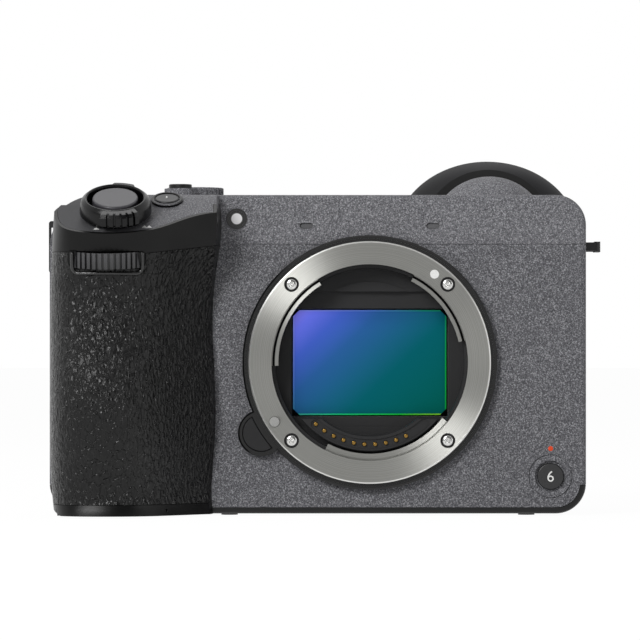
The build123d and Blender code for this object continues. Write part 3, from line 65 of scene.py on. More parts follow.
def softbox(name, place, width, height, power, target=(-0.01, -0.02, 0.04)):
    """Rectangular lamp at place, turned to face target, which is the camera body's middle."""
    lamp = bpy.data.lights.new(name, "AREA")
    lamp.shape = "RECTANGLE"
    lamp.size = width
    lamp.size_y = height
    lamp.energy = power
    stand = bpy.data.objects.new(name, lamp)
    scene.collection.objects.link(stand)
    aim = np.array(target, float) - np.array(place, float)
    aim /= np.linalg.norm(aim)
    stand.location = place
    stand.rotation_euler = (math.acos(-aim[2]), 0.0, math.atan2(aim[0], -aim[1]) + math.pi)


softbox("key_lamp", (-0.62, -1.10, 0.66), width=0.50, height=0.50, power=12.5)
softbox("fill_lamp", (1.1, -0.7, 0.30), width=0.6, height=0.6, power=1.6)
softbox("top_lamp", (-0.2, 0.45, 1.1), width=0.8, height=0.4, power=1.8)
softbox("lens_panel", (0.0, -1.45, 0.08), width=0.62, height=0.62, power=1.3)

# Studio: pale walls that look white but give only a weak glow, dim in front so that the glossy black pieces stay
# dark. The floor is a wide matt board that looks as white as the walls and keeps the shadow.


def link_sum(tree, sockets):
    """Adds the sockets, held between 0 and 1."""
    total = sockets[0]
    for other in sockets[1:]:
        add = tree.nodes.new("ShaderNodeMath")
        add.operation = "ADD"
        add.use_clamp = True
        tree.links.new(total, add.inputs[0])
        tree.links.new(other, add.inputs[1])
        total = add.outputs[0]
    return total


def seen_directly(tree):
    """1 for camera, glossy and transmission rays, which show the background, and 0 for light."""
    path = tree.nodes.new("ShaderNodeLightPath")
    return link_sum(tree, [path.outputs[n] for n in ("Is Camera Ray", "Is Glossy Ray", "Is Transmission Ray")])


front_brightness = 0.1
glow_strength = 0.27
world = bpy.data.worlds.new("studio")
scene.world = world
world.use_nodes = True
tree = world.node_tree
tree.nodes.clear()
where = tree.nodes.new("ShaderNodeTexCoord")
split = tree.nodes.new("ShaderNodeSeparateXYZ")
tree.links.new(where.outputs["Generated"], split.inputs[0])
front_dim = tree.nodes.new("ShaderNodeMapRange")
front_dim.interpolation_type = "SMOOTHSTEP"
front_dim.inputs["From Min"].default_value = -0.8
front_dim.inputs["From Max"].default_value = 0.0
front_dim.inputs["To Min"].default_value = front_brightness
front_dim.inputs["To Max"].default_value = 1.0
tree.links.new(split.outputs["Y"], front_dim.inputs["Value"])
shown = tree.nodes.new("ShaderNodeBackground")
shown.inputs["Color"].default_value = (1.0, 1.0, 1.0, 1.0)
tree.links.new(front_dim.outputs[0], shown.inputs["Strength"])
glow = tree.nodes.new("ShaderNodeBackground")
glow.inputs["Color"].default_value = (1.0, 1.0, 1.0, 1.0)
glow.inputs["Strength"].default_value = glow_strength
pick = tree.nodes.new("ShaderNodeMixShader")
tree.links.new(seen_directly(tree), pick.inputs[0])
tree.links.new(glow.outputs[0], pick.inputs[1])
tree.links.new(shown.outputs[0], pick.inputs[2])
sky_out = tree.nodes.new("ShaderNodeOutputWorld")
tree.links.new(pick.outputs[0], sky_out.inputs["Surface"])

floor_half = 30.0
floor_grey = 0.8
floor_white = 1.03
floor_white_share = 0.94
floor_mesh = bpy.data.meshes.new("floor")
corners = [(x * floor_half, y * floor_half, 0) for x, y in ((-1, -1), (1, -1), (1, 1), (-1, 1))]
floor_mesh.from_pydata(corners, [], [(0, 1, 2, 3)])
floor = bpy.data.objects.new("floor", floor_mesh)
scene.collection.objects.link(floor)
floor_paint = bpy.data.materials.new("pale_floor")
floor_paint.use_nodes = True
tree = floor_paint.node_tree
tree.nodes.clear()
matt = tree.nodes.new("ShaderNodeBsdfDiffuse")
matt.inputs["Color"].default_value = (floor_grey, floor_grey, floor_grey, 1.0)
white = tree.nodes.new("ShaderNodeEmission")
white.inputs["Color"].default_value = (1.0, 1.0, 1.0, 1.0)
white.inputs["Strength"].default_value = floor_white
share = tree.nodes.new("ShaderNodeMath")
share.operation = "MULTIPLY"
share.inputs[1].default_value = floor_white_share
tree.links.new(seen_directly(tree), share.inputs[0])
pick = tree.nodes.new("ShaderNodeMixShader")
tree.links.new(share.outputs[0], pick.inputs[0])
tree.links.new(matt.outputs[0], pick.inputs[1])
tree.links.new(white.outputs[0], pick.inputs[2])
out = tree.nodes.new("ShaderNodeOutputMaterial")
tree.links.new(pick.outputs[0], out.inputs["Surface"])
floor_mesh.materials.append(floor_paint)

# Front and top cover: magnesium shell halves, sprayed with a fine speckled matt grey and screwed to the chassis.
# The top half's paint is made lighter as painted light, standing for the brighter light from above, and the
# finder's barrel and the rear dials have the same paint. The deck over the grip is a plainer grey, painted darker
# towards its left as painted shadow of the lever and the crest.


def tone(red, green, blue):
    """Linear colour of an sRGB value given in 0 to 255."""
    value = np.array([red, green, blue], float) / 255
    linear = np.where(value <= 0.04045, value / 12.92, ((value + 0.055) / 1.055) ** 2.4)
    return (*linear.tolist(), 1.0)


def blank(name, roughness=0.5, metallic=0.0, gloss=0.5):
    """New material: its tree, its shader and its Object coordinates. Gloss is the shader's specular level."""
    made = bpy.data.materials.new(name)
    made.use_nodes = True
    tree = made.node_tree
    shader = tree.nodes["Principled BSDF"]
    shader.inputs["Roughness"].default_value = roughness
    shader.inputs["Metallic"].default_value = metallic
    shader.inputs["Specular IOR Level"].default_value = gloss
    place = tree.nodes.new("ShaderNodeTexCoord").outputs["Object"]
    return made, tree, shader, place


def sized(tree, place, scale):
    """Coordinates stretched by the three factors of scale."""
    mapping = tree.nodes.new("ShaderNodeMapping")
    mapping.inputs["Scale"].default_value = scale
    tree.links.new(place, mapping.inputs["Vector"])
    return mapping.outputs["Vector"]


def grain(tree, place, scale, detail=2.0, roughness=0.5):
    """Noise with about scale grains per metre."""
    noise = tree.nodes.new("ShaderNodeTexNoise")
    noise.inputs["Scale"].default_value = scale
    noise.inputs["Detail"].default_value = detail
    noise.inputs["Roughness"].default_value = roughness
    tree.links.new(place, noise.inputs["Vector"])
    return noise.outputs["Fac"]


def ramp(tree, value, stops):
    """Colour that runs through the stops as value rises: each stop is a place and a colour."""
    band = tree.nodes.new("ShaderNodeValToRGB")
    keys = band.color_ramp.elements
    while len(keys) < len(stops):
        keys.new(0.5)
    for key, (position, colour) in zip(keys, stops):
        key.position = position
        key.color = colour
    tree.links.new(value, band.inputs["Fac"])
    return band.outputs["Color"]


def spread(tree, value, low, high, start=0.0, end=1.0):
    """Value carried over in proportion, from start and end to low and high, and held there beyond them."""
    scale = tree.nodes.new("ShaderNodeMapRange")
    scale.inputs["From Min"].default_value = start
    scale.inputs["From Max"].default_value = end
    scale.inputs["To Min"].default_value = low
    scale.inputs["To Max"].default_value = high
    tree.links.new(value, scale.inputs["Value"])
    return scale.outputs["Result"]


def reckon(tree, operation, first, second=None):
    """One step of arithmetic on sockets or numbers."""
    step = tree.nodes.new("ShaderNodeMath")
    step.operation = operation
    for slot, value in enumerate((first, second)):
        if isinstance(value, bpy.types.NodeSocket):
            tree.links.new(value, step.inputs[slot])
        elif value is not None:
            step.inputs[slot].default_value = value
    return step.outputs[0]


def two_tones(tree, value, dark, light):
    """Colour from dark to light, each three sRGB values, as a grain's value rises."""
    return ramp(tree, value, [(0.3, tone(*dark)), (0.7, tone(*light))])


def mixed(tree, share, first, second):
    """First colour where share is 0 and second where it is 1. A colour is a socket or four numbers."""
    blend = tree.nodes.new("ShaderNodeMixRGB")
    tree.links.new(share, blend.inputs[0])
    for slot, colour in ((1, first), (2, second)):
        if isinstance(colour, bpy.types.NodeSocket):
            tree.links.new(colour, blend.inputs[slot])
        else:
            blend.inputs[slot].default_value = colour
    return blend.outputs[0]


def relief(tree, shader, height, depth, strength=1.0):
    """Bump of the given depth in metres."""
    bump = tree.nodes.new("ShaderNodeBump")
    bump.inputs["Strength"].default_value = strength
    bump.inputs["Distance"].default_value = depth
    tree.links.new(height, bump.inputs["Height"])
    tree.links.new(bump.outputs["Normal"], shader.inputs["Normal"])


def coat_node(material, *names):
    """Puts the material on CAD nodes."""
    for name in names:
        mesh = nodes[name].data
        mesh.materials.clear()
        mesh.materials.append(material)


def speckled_paint(name, lift, gloss, plain_and_shade_share=None):
    """Matt grey paint with dark and pale specks, each tone raised by lift. Where plain_and_shade_share is 1, it is
    a plain darker grey.
    """
    made, tree, shader, place = blank(name, gloss=gloss)
    speck = grain(tree, place, 3300.0, detail=3.0, roughness=0.65)
    stops = [(0.33, 44), (0.46, 84), (0.54, 98), (0.68, 162)]
    colours = [(position, tone(grey + lift, grey + lift, grey + lift + 4)) for position, grey in stops]
    paint = ramp(tree, speck, colours)
    if plain_and_shade_share:
        paint = mixed(tree, plain_and_shade_share(tree, place), paint, tone(72, 72, 74))
    tree.links.new(paint, shader.inputs["Base Color"])
    tree.links.new(spread(tree, speck, 0.66, 0.46, start=0.3, end=0.7), shader.inputs["Roughness"])
    relief(tree, shader, speck, depth=0.00005, strength=0.5)
    return made


def deck_shade_and_plain_grey(tree, place):
    """Share of plain darker grey: 1 at the left of the deck, less towards its right end, and 0 behind it. The
    darkening at the left is painted shadow of the lever and the crest; the plainness is the deck's own finish.
    """
    axes = tree.nodes.new("ShaderNodeSeparateXYZ")
    tree.links.new(place, axes.inputs[0])
    leftward = spread(tree, axes.outputs["X"], 1.0, 0.25, start=-0.060, end=-0.044)
    forward = spread(tree, axes.outputs["Y"], 1.0, 0.0, start=-0.021, end=-0.015)
    return reckon(tree, "MULTIPLY", leftward, forward)


body_paint = speckled_paint("speckled_grey_paint", lift=-2, gloss=0.35)
coat_node(body_paint, "front_cover")
# The top paint is lifted 20 levels as painted light, for the brighter light from above. Over the deck it turns to a
# plain dark grey, most at its left, as painted shadow of the lever and the crest.
top_paint_with_painted_light = speckled_paint("speckled_grey_top_painted_light", lift=20, gloss=0.15, plain_and_shade_share=deck_shade_and_plain_grey)
coat_node(top_paint_with_painted_light, "top_cover", "finder_barrel", "finder_bracket", "rear_dial", "top_dial")

# Rear cover, base, doors, monitor and rear buttons: moulded in black satin polycarbonate with a fine spark-eroded
# grain. The covers are screwed to the chassis, the doors hinge on pins, and the buttons sit loose in their holes.


def moulded(name, colour, roughness=0.5, grain_scale=5000.0, depth=0.00002, mottle=0.12, gloss=0.3):
    """Moulded plastic with a fine even grain, a little lighter and duller in patches."""
    made, tree, shader, place = blank(name, gloss=gloss)
    fine = grain(tree, place, grain_scale)
    broad = grain(tree, place, 60.0, detail=3.0)
    patchy = reckon(tree, "MULTIPLY", fine, broad)
    dark = tuple(c * (1 - mottle) for c in colour[:3]) + (1.0,)
    light = tuple(c * (1 + mottle) for c in colour[:3]) + (1.0,)
    tree.links.new(ramp(tree, patchy, [(0.12, dark), (0.38, light)]), shader.inputs["Base Color"])
    tree.links.new(spread(tree, broad, roughness - 0.05, roughness + 0.06), shader.inputs["Roughness"])
    relief(tree, shader, fine, depth, strength=0.6)
    return made


satin_black = moulded("satin_black_plastic", tone(17, 17, 17), roughness=0.42)
coat_node(
    satin_black,
    "rear_cover",
    "bottom_plate",
    "battery_door",
    "battery_latch",
    "card_door",
    "socket_door_upper",
    "socket_door_lower",
    "socket_block",
    "monitor_housing",
    "monitor_arm",
    "control_wheel",
    "centre_button",
    "menu_button",
    "focus_button",
    "play_button",
    "joystick",
    "record_button",
    "diopter_wheel",
    "eyepiece_frame",
)

# Grip: a smooth black moulding, screwed to the front cover, with leather-grained rubber glued round its front,
# between the crest and the base. Fine pebbles stand between folds that run up and down.
crest_black = moulded(
    "crest_plastic", tone(8, 8, 8), roughness=0.34, grain_scale=7000.0, depth=0.00001, mottle=0.08, gloss=0.22
)
coat_node(crest_black, "grip_core")

leather, tree, shader, place = blank("grip_leather", gloss=0.32)
stretched = sized(tree, place, (1.25, 1.25, 0.7))
warp = tree.nodes.new("ShaderNodeTexNoise")
warp.inputs["Scale"].default_value = 700.0
tree.links.new(stretched, warp.inputs["Vector"])
bend = tree.nodes.new("ShaderNodeMixRGB")
bend.blend_type = "LINEAR_LIGHT"
bend.inputs[0].default_value = 0.0007
tree.links.new(stretched, bend.inputs[1])
tree.links.new(warp.outputs["Color"], bend.inputs[2])
pebble = tree.nodes.new("ShaderNodeTexVoronoi")
pebble.feature = "SMOOTH_F1"
pebble.inputs["Scale"].default_value = 900.0
pebble.inputs["Smoothness"].default_value = 0.45
tree.links.new(bend.outputs[0], pebble.inputs["Vector"])
crease = tree.nodes.new("ShaderNodeTexVoronoi")
crease.feature = "DISTANCE_TO_EDGE"
crease.inputs["Scale"].default_value = 520.0
tree.links.new(bend.outputs[0], crease.inputs["Vector"])
domes = spread(tree, pebble.outputs["Distance"], 1.0, 0.0, end=0.75)
folds = spread(tree, crease.outputs["Distance"], 0.0, 1.0, end=0.12)
hide = reckon(tree, "ADD", reckon(tree, "MULTIPLY", folds, 0.6), domes)
# Base colour follows the relief: painted shade darkens the folds and the gaps between the pebbles, and the pebble
# tops stay lighter.
tree.links.new(ramp(tree, hide, [(0.2, tone(3, 3, 3)), (0.9, tone(11, 11, 11))]), shader.inputs["Base Color"])
tree.links.new(spread(tree, domes, 0.38, 0.2), shader.inputs["Roughness"])
relief(tree, shader, hide, depth=0.00028, strength=1.0)
coat_node(leather, "grip_skin")

# Chassis, stabiliser, board and battery: cast light alloy that carries the covers and the mount, a printed board
# screwed to it, and a wrapped battery in the grip. They are mostly out of sight.
cast, tree, shader, place = blank("cast_alloy", metallic=0.9)
skin = grain(tree, place, 1800.0, detail=4.0)
tree.links.new(two_tones(tree, skin, (88, 88, 90), (112, 112, 114)), shader.inputs["Base Color"])
relief(tree, shader, skin, depth=0.00004, strength=0.5)
coat_node(cast, "chassis", "stabiliser_carriage", "sensor_stage")

board = moulded("green_board", tone(22, 78, 52), roughness=0.35, grain_scale=1500.0)
coat_node(board, "main_board")
cell = moulded("battery_case", tone(58, 58, 62))
coat_node(cell, "battery")

# Mount: a turned stainless ring with three claws, held by four cross-head screws inside a black collar.
# The ring's fine tool marks run round the lens axis and its outer edge is broken with a chamfer, which carries a
# painted highlight: a band of near-white steel colour. A painted shadow line, near black, parts the ring from its
# two upper claws, above the axis only.


def vector_step(tree, operation, vector, *others):
    """One step of vector arithmetic on a socket and fixed vectors."""
    step = tree.nodes.new("ShaderNodeVectorMath")
    step.operation = operation
    tree.links.new(vector, step.inputs[0])
    for slot, value in enumerate(others, 1):
        step.inputs[slot].default_value = value
    return step.outputs["Value" if operation == "LENGTH" else "Vector"]


ring_face_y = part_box("mount_ring")[0][1]
ring_steel, tree, shader, place = blank("turned_steel", metallic=1.0)
outward = vector_step(tree, "MULTIPLY_ADD", place, (1.0, 0.0, 1.0), (0.0, 0.0, -lens_axis))
tree.links.new(outward, shader.inputs["Tangent"])
reach = vector_step(tree, "LENGTH", outward)
turning = tree.nodes.new("ShaderNodeTexNoise")
turning.noise_dimensions = "1D"
turning.inputs["Scale"].default_value = 9000.0
turning.inputs["Detail"].default_value = 3.0
tree.links.new(reach, turning.inputs["W"])
shader.inputs["Anisotropic"].default_value = 0.98
steel = ramp(tree, turning.outputs["Fac"], [(0.35, tone(141, 141, 137)), (0.65, tone(165, 165, 161))])
heights = tree.nodes.new("ShaderNodeSeparateXYZ")
tree.links.new(place, heights.inputs[0])
# Painted shadow line between the ring and its upper claws, and painted highlight band on the ring's outer edge.
shadow_line_from, shadow_line_to, shadow_line_foot = 0.0229, 0.0234, lens_axis - 0.002
edge_highlight_from, edge_highlight_soft = 0.0288, 0.00015
line_soft = 0.0001
shadow_line_inner = spread(tree, reach, 0.0, 1.0, start=shadow_line_from - line_soft, end=shadow_line_from)
shadow_line_outer = spread(tree, reach, 1.0, 0.0, start=shadow_line_to, end=shadow_line_to + line_soft)
shadow_line_upper = spread(tree, heights.outputs["Z"], 0.0, 1.0, start=shadow_line_foot, end=shadow_line_foot + 0.001)
shadow_line_share = reckon(tree, "MULTIPLY", reckon(tree, "MULTIPLY", shadow_line_inner, shadow_line_outer), shadow_line_upper)
edge_highlight_share = spread(tree, reach, 0.0, 1.0, start=edge_highlight_from, end=edge_highlight_from + edge_highlight_soft)
steel_with_edge_highlight = mixed(tree, edge_highlight_share, steel, tone(235, 235, 232))
tree.links.new(mixed(tree, shadow_line_share, steel_with_edge_highlight, tone(12, 12, 12)), shader.inputs["Base Color"])
tree.links.new(spread(tree, turning.outputs["Fac"], 0.34, 0.4), shader.inputs["Roughness"])
relief(tree, shader, turning.outputs["Fac"], depth=0.00001, strength=0.3)
coat_node(ring_steel, "mount_ring")

collar_black = moulded("collar_black", tone(6, 6, 6), roughness=0.28, depth=0.00001, mottle=0.1, gloss=0.35)
coat_node(collar_black, "mount_collar")


def placed(centre, across, up, u, v, h):
    """Points in metres: centre, plus u along across, v along up and h along the outward normal, all in mm."""
    across, up = np.array(across, float), np.array(up, float)
    out = np.cross(across, up)
    shape = np.broadcast(u, v, h).shape + (1,)
    u, v, h = (np.broadcast_to(value, shape[:-1]).reshape(shape) for value in (u, v, h))
    return (np.array(centre, float) + u * across + v * up + h * out) / 1000


def shell(name, grids, material, body, crease=34.0):
    """Piece from grids of points. Neighbours in rows and columns span quads; doubles are merged, so a last column
    equal to the first closes a seam and a row drawn to one point becomes a pole. Faces are turned outwards."""
    points, quads, count = [], [], 0
    for grid in grids:
        rows, columns = grid.shape[:2]
        index = count + np.arange(rows * columns).reshape(rows, columns)
        corners = (index[:-1, :-1], index[:-1, 1:], index[1:, 1:], index[1:, :-1])
        quads.append(np.stack(corners, -1).reshape(-1, 4))
        points.append(grid.reshape(-1, 3))
        count += rows * columns
    mesh = bpy.data.meshes.new(name)
    mesh.from_pydata(np.concatenate(points).tolist(), [], np.concatenate(quads).tolist())
    work = bmesh.new()
    work.from_mesh(mesh)
    bmesh.ops.remove_doubles(work, verts=work.verts, dist=2e-7)
    bmesh.ops.recalc_face_normals(work, faces=work.faces)
    work.to_mesh(mesh)
    work.free()
    mesh.polygons.foreach_set("use_smooth", np.ones(len(mesh.polygons), bool))
    mesh.set_sharp_from_angle(angle=math.radians(crease))
    mesh.materials.append(material)
    made = bpy.data.objects.new(name, mesh)
    scene.collection.objects.link(made)
    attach(made, body)
    return made


front_face = ((1, 0, 0), (0, 0, 1))


def turned(profile, centre, across, up, steps=72, shape=None):
    """Grid of a profile of radius and height carried round the normal: the point at angle a stands at radius
    (cos a, sin a). Shape may change the heights, as a function of u, v and height."""
    angle = np.linspace(0, 2 * math.pi, steps + 1)
    radius, height = np.array(profile, float).T
    u = radius[:, None] * np.cos(angle)
    v = radius[:, None] * np.sin(angle)
    h = np.repeat(height[:, None], steps + 1, 1)
    if shape:
        h = shape(u, v, h)
    return placed(centre, across, up, u, v, h)


def cross_slot(u, v, h):
    """Sinks a cross of two tapering slots: a slot is deepest on its middle line and ends before the head's edge."""
    depth = np.zeros_like(u)
    for along, aside in ((u + v, u - v), (u - v, u + v)):
        inside = np.clip((0.2 - np.abs(aside) / math.sqrt(2)) / 0.1, 0, 1)
        length = np.clip((0.72 - np.abs(along) / math.sqrt(2)) / 0.1, 0, 1)
        depth = np.maximum(depth, inside * length)
    return h - np.where(h > -0.4, 0.3 * depth, 0)


bright, tree, shader, place = blank("bright_screw_steel", roughness=0.24, metallic=1.0)
scratch = grain(tree, place, 4000.0, detail=4.0)
tree.links.new(two_tones(tree, scratch, (196, 196, 194), (226, 226, 224)), shader.inputs["Base Color"])
relief(tree, shader, scratch, depth=0.00001, strength=0.4)
coat_node(bright, "housing_screws", "card_slots")
pin_steel = moulded("pin_steel", tone(150, 150, 148), roughness=0.35, grain_scale=4000.0)
coat_node(pin_steel, "lock_pin")
shoe_steel = moulded("shoe_steel", tone(96, 96, 98), roughness=0.4, grain_scale=4000.0)
coat_node(shoe_steel, "hot_shoe")

head_radius = 1.36
rings = np.linspace(0, 1, 17)
dome = [(head_radius * t, 0.28 - 0.26 * t**3 - 0.16 * t**12) for t in rings]
dome += [(head_radius, -0.9), (0.0, -0.9)]
screw_circle = 26.6
head_places = [math.radians(45 + 90 * k) for k in range(4)]
head_middles = [
    (screw_circle * math.cos(a), 1000 * ring_face_y + 0.12, 1000 * lens_axis + screw_circle * math.sin(a))
    for a in head_places
]
domes = [turned(dome, m, *front_face, steps=64, shape=cross_slot) for m in head_middles]
heads = shell("cross_screws", domes, bright, "body")
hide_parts("mount_screws")

# Painted shade: a near-black cup round each screw head stands for the shadow in its countersink, and is no part of
# the camera.
painted_recess_shade = moulded("painted_recess_shade", tone(8, 8, 8), roughness=0.6)
shade_cup = [(1.38, 0.02), (1.75, 0.04), (1.79, -0.5), (1.38, -0.5), (1.38, 0.02)]
recess_shade_cups = [turned(shade_cup, (x, y + 0.06, z), *front_face, steps=64) for x, y, z in head_middles]
shell("screw_recess_shades", recess_shade_cups, painted_recess_shade, "body")

marking = moulded("white_marking", tone(222, 222, 220))
index_radius = 1.08
index_angle = math.radians(53.7)
index_circle = 26.4
index_middle = (
    index_circle * math.cos(index_angle),
    1000 * ring_face_y,
    1000 * lens_axis + index_circle * math.sin(index_angle),
)
index_dome = [(0, 0.05), (0.6 * index_radius, 0.045), (index_radius, 0.02), (index_radius, -0.35), (0, -0.35)]
shell("index_dot", [turned(index_dome, index_middle, *front_face, steps=48)], marking, "body")

# Throat: moulded black baffle, contact block with gilt pins, shutter frame and blades, pressed mask, and the sensor
# under its filter. The filter's coating reflects violet at the upper left and green at the lower right.
flock = moulded("throat_black", tone(30, 30, 31), roughness=0.55)
coat_node(flock, "throat_baffle", "contact_block", "shutter_frame")

filter_low, filter_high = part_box("sensor_filter")
filter_half = (filter_high[0] - filter_low[0]) / 2
filter_rise = (filter_high[2] - filter_low[2]) / 2


def from_window(tree, place):
    """Place across and up from the lens axis, x and z, and their distances |x| and |z|."""
    sides = tree.nodes.new("ShaderNodeSeparateXYZ")
    tree.links.new(place, sides.inputs[0])
    x = sides.outputs["X"]
    z = reckon(tree, "SUBTRACT", sides.outputs["Z"], lens_axis)
    return x, z, reckon(tree, "ABSOLUTE", x), reckon(tree, "ABSOLUTE", z)


mask_grey, tree, shader, place = blank("mask_grey", roughness=0.55, gloss=0.3)
across, upward = from_window(tree, place)[2:]
gap = 0.0003
soft_edge = 0.0001
past = reckon(
    tree,
    "MAXIMUM",
    spread(tree, across, 0.0, 1.0, start=filter_half + gap, end=filter_half + gap + soft_edge),
    spread(tree, upward, 0.0, 1.0, start=filter_rise + gap, end=filter_rise + gap + soft_edge),
)
fine = grain(tree, place, 5000.0)
plate = two_tones(tree, fine, (78, 78, 80), (88, 88, 90))
tree.links.new(mixed(tree, past, tone(6, 6, 6), plate), shader.inputs["Base Color"])
relief(tree, shader, fine, depth=0.00001, strength=0.5)
coat_node(mask_grey, "sensor_mask")
blade_black = moulded("blade_black", tone(34, 34, 35), roughness=0.45)
coat_node(blade_black, "shutter_blade_front", "shutter_blade_rear")

gilt, tree, shader, place = blank("gilt_pins", roughness=0.3, metallic=1.0)
pits = grain(tree, place, 8000.0)
tree.links.new(two_tones(tree, pits, (104, 80, 36), (160, 126, 66)), shader.inputs["Base Color"])
coat_node(gilt, "contact_pins")

coating, tree, shader, place = blank("sensor_coating", roughness=0.32, metallic=1.0)
x, z, across, upward = from_window(tree, place)
rightward = spread(tree, x, 0.0, 1.0, start=-filter_half, end=filter_half)
drop_share = 0.72
downward = spread(tree, z, drop_share, 0.0, start=-filter_rise, end=filter_rise)
sweep = spread(tree, reckon(tree, "ADD", rightward, downward), 0.0, 1.0, end=1 + drop_share)
film = ramp(
    tree,
    sweep,
    [
        (0.0, tone(138, 132, 246)),
        (0.09, tone(104, 116, 236)),
        (0.2, tone(68, 98, 200)),
        (0.34, tone(42, 92, 152)),
        (0.5, tone(26, 94, 126)),
        (0.62, tone(8, 92, 102)),
        (0.95, tone(4, 90, 82)),
    ],
)
edge_light = ramp(
    tree,
    sweep,
    [(0.0, tone(136, 140, 246)), (0.3, tone(78, 120, 205)), (0.5, tone(24, 132, 110)), (0.8, tone(20, 160, 66))],
)
base_light = ramp(
    tree,
    rightward,
    [(0.0, tone(60, 170, 160)), (0.3, tone(30, 196, 120)), (0.7, tone(30, 190, 60)), (1.0, tone(130, 196, 40))],
)
base_width = 0.0005
at_base = spread(tree, z, 1.0, 0.0, start=base_width - soft_edge - filter_rise, end=base_width - filter_rise)
rim_width = 0.00028
near_edge = reckon(
    tree,
    "MAXIMUM",
    spread(tree, across, 0.0, 1.0, start=filter_half - rim_width - soft_edge, end=filter_half - rim_width),
    spread(tree, upward, 0.0, 1.0, start=filter_rise - rim_width - soft_edge, end=filter_rise - rim_width),
)
corner_size = 0.0016
corner_cut = filter_half + filter_rise - corner_size
clipped = spread(tree, reckon(tree, "ADD", across, upward), 0.0, 1.0, start=corner_cut, end=corner_cut + soft_edge)
lined = mixed(tree, near_edge, film, mixed(tree, at_base, edge_light, base_light))
tree.links.new(mixed(tree, clipped, lined, tone(5, 5, 5)), shader.inputs["Base Color"])
relief(tree, shader, grain(tree, place, 1500.0), depth=0.000002, strength=0.2)
coat_node(coating, "sensor_filter", "image_sensor")

# Zoom lever and shutter button: a moulded black ring, with a ribbed tab in front and a small one behind, turns on a
# collar of the sloping deck. The release in its middle is a grey disc on a spring.
lever_black = moulded("lever_black", tone(5, 5, 6), roughness=0.27, depth=0.00001, mottle=0.1, gloss=0.3)
slope = math.radians(28.0)
deck_middle = (-60.4, -36.2, 71.77)
deck_face = ((1, 0, 0), (0, math.cos(slope), math.sin(slope)))
# The ring's section, as radius and height in mm
barrel = [
    (6.55, 0.35),
    (6.55, 4.2),
    (6.75, 4.75),
    (7.0, 4.95),
    (7.2, 4.95),
    (7.35, 4.8),
    (7.95, 4.3),
    (8.15, 4.0),
    (8.4, 2.9),
    (8.52, 1.8),
    (8.52, 1.1),
    (8.3, 0.9),
    (7.6, 0.9),
    (7.5, 0.35),
    (6.55, 0.35),
]


def finger_tab(start, end, inner, outer, low, high, ribs=None, steps=120):
    """Grid of a tab on the lever: a section of radius and height is carried from the start to the end angle,
    counted from straight downhill, and its outer side is drawn in between the ribs, which are given by the first
    groove's angle, their pitch and the groove's depth."""
    angle = np.radians(np.linspace(start, end, steps))
    reach = np.full(steps, float(outer))
    if ribs:
        first, pitch, depth = ribs
        turn = (np.degrees(angle) - first) / pitch
        groove_half = 0.16
        groove = np.abs((turn + 0.5) % 1 - 0.5) < groove_half
        reach -= depth * (groove & (turn > -0.3))
    edge = np.minimum(np.arange(steps), np.arange(steps)[::-1])
    reach -= 0.5 * (edge < 1) + 0.2 * (edge == 1)
    inside = np.full(steps, inner)
    flat = np.ones(steps)
    # Seen along the tab: up the inner wall last, with bevels of about 0.5 mm at the outer edges
    section_radius = (inside, reach - 0.4, reach, reach, reach - 0.5, reach - 1.2, inside, inside)
    section_height = (low, low, low + 0.5, high - 0.9, high - 0.1, high, high - 0.1, low)
    radius = np.stack(section_radius, 1)
    height = np.stack([level * flat for level in section_height], 1)
    end_radius, end_height = np.full((1, 8), (inner + outer) / 2), np.full((1, 8), (low + high) / 2)
    radius = np.concatenate((end_radius, radius, end_radius))
    height = np.concatenate((end_height, height, end_height))
    angle = np.concatenate((angle[:1], angle, angle[-1:]))[:, None]
    return placed(deck_middle, *deck_face, radius * np.sin(angle), -radius * np.cos(angle), height)


lever_grids = [
    turned(barrel, deck_middle, *deck_face, steps=128),
    finger_tab(-19, 38, inner=7.2, outer=10.15, low=1.5, high=4.95, ribs=(-8.0, 9.2, 0.75)),
    finger_tab(148, 187, inner=7.3, outer=8.9, low=2.8, high=4.8, steps=24),
]
lever = shell("zoom_lever_ring", lever_grids, lever_black, "lever", crease=25.0)
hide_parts("zoom_lever")

disc_grey = moulded(
    "disc_grey", tone(62, 61, 65), roughness=0.36, grain_scale=6000.0, depth=0.00001, mottle=0.1, gloss=0.4
)
coat_node(disc_grey, "shutter_button")

# Zoom marks: one peak at the wide end and two at the long end, printed in white ink on the deck beside the lever.
# Each is a film that stands 0.02 mm proud of the paint.


def plaque(u, v, low, high, centre, face):
    """Grid of a flat tablet in mm: its outline of u and v, closed, stands from low to high over the face, and both
    ends close on its middle."""
    u, v = np.append(u, u[0]), np.append(v, v[0])
    middle_u, middle_v = np.full(u.shape, u[:-1].mean()), np.full(v.shape, v[:-1].mean())
    rows_u, rows_v = np.stack((middle_u, u, u, middle_u)), np.stack((middle_v, v, v, middle_v))
    heights = np.repeat(np.array([low, low, high, high])[:, None], len(u), 1)
    return placed(centre, *face, rows_u, rows_v, heights)


def peak(u, v, width, height):
    """Tablet of one triangle: its base is centred on u and v."""
    outline_u, outline_v = np.array([-0.5, 0.5, 0.0]) * width + u, np.array([0, 0, height]) + v
    return plaque(outline_u, outline_v, low=-0.05, high=0.02, centre=deck_middle, face=deck_face)


shell("wide_mark", [peak(-4.3, -7.4, width=1.5, height=1.25)], marking, "body")
shell("long_mark", [peak(u, -6.3, width=1.25, height=1.2) for u in (7.1, 8.2)], marking, "body")

# Front dial: a knurled wheel that shows in the grip's window, turned from black-finished metal and clipped to its
# shaft. The ridge tops are painted pale as a highlight, and the gaps between them near black as painted shade.
dial_metal, tree, shader, place = blank("dial_ridges", roughness=0.32)
dial_hub = (-0.0623, -0.0346)
spoke = vector_step(tree, "MULTIPLY_ADD", place, (1.0, 1.0, 0.0), (-dial_hub[0], -dial_hub[1], 0.0))
from_hub = vector_step(tree, "LENGTH", spoke)
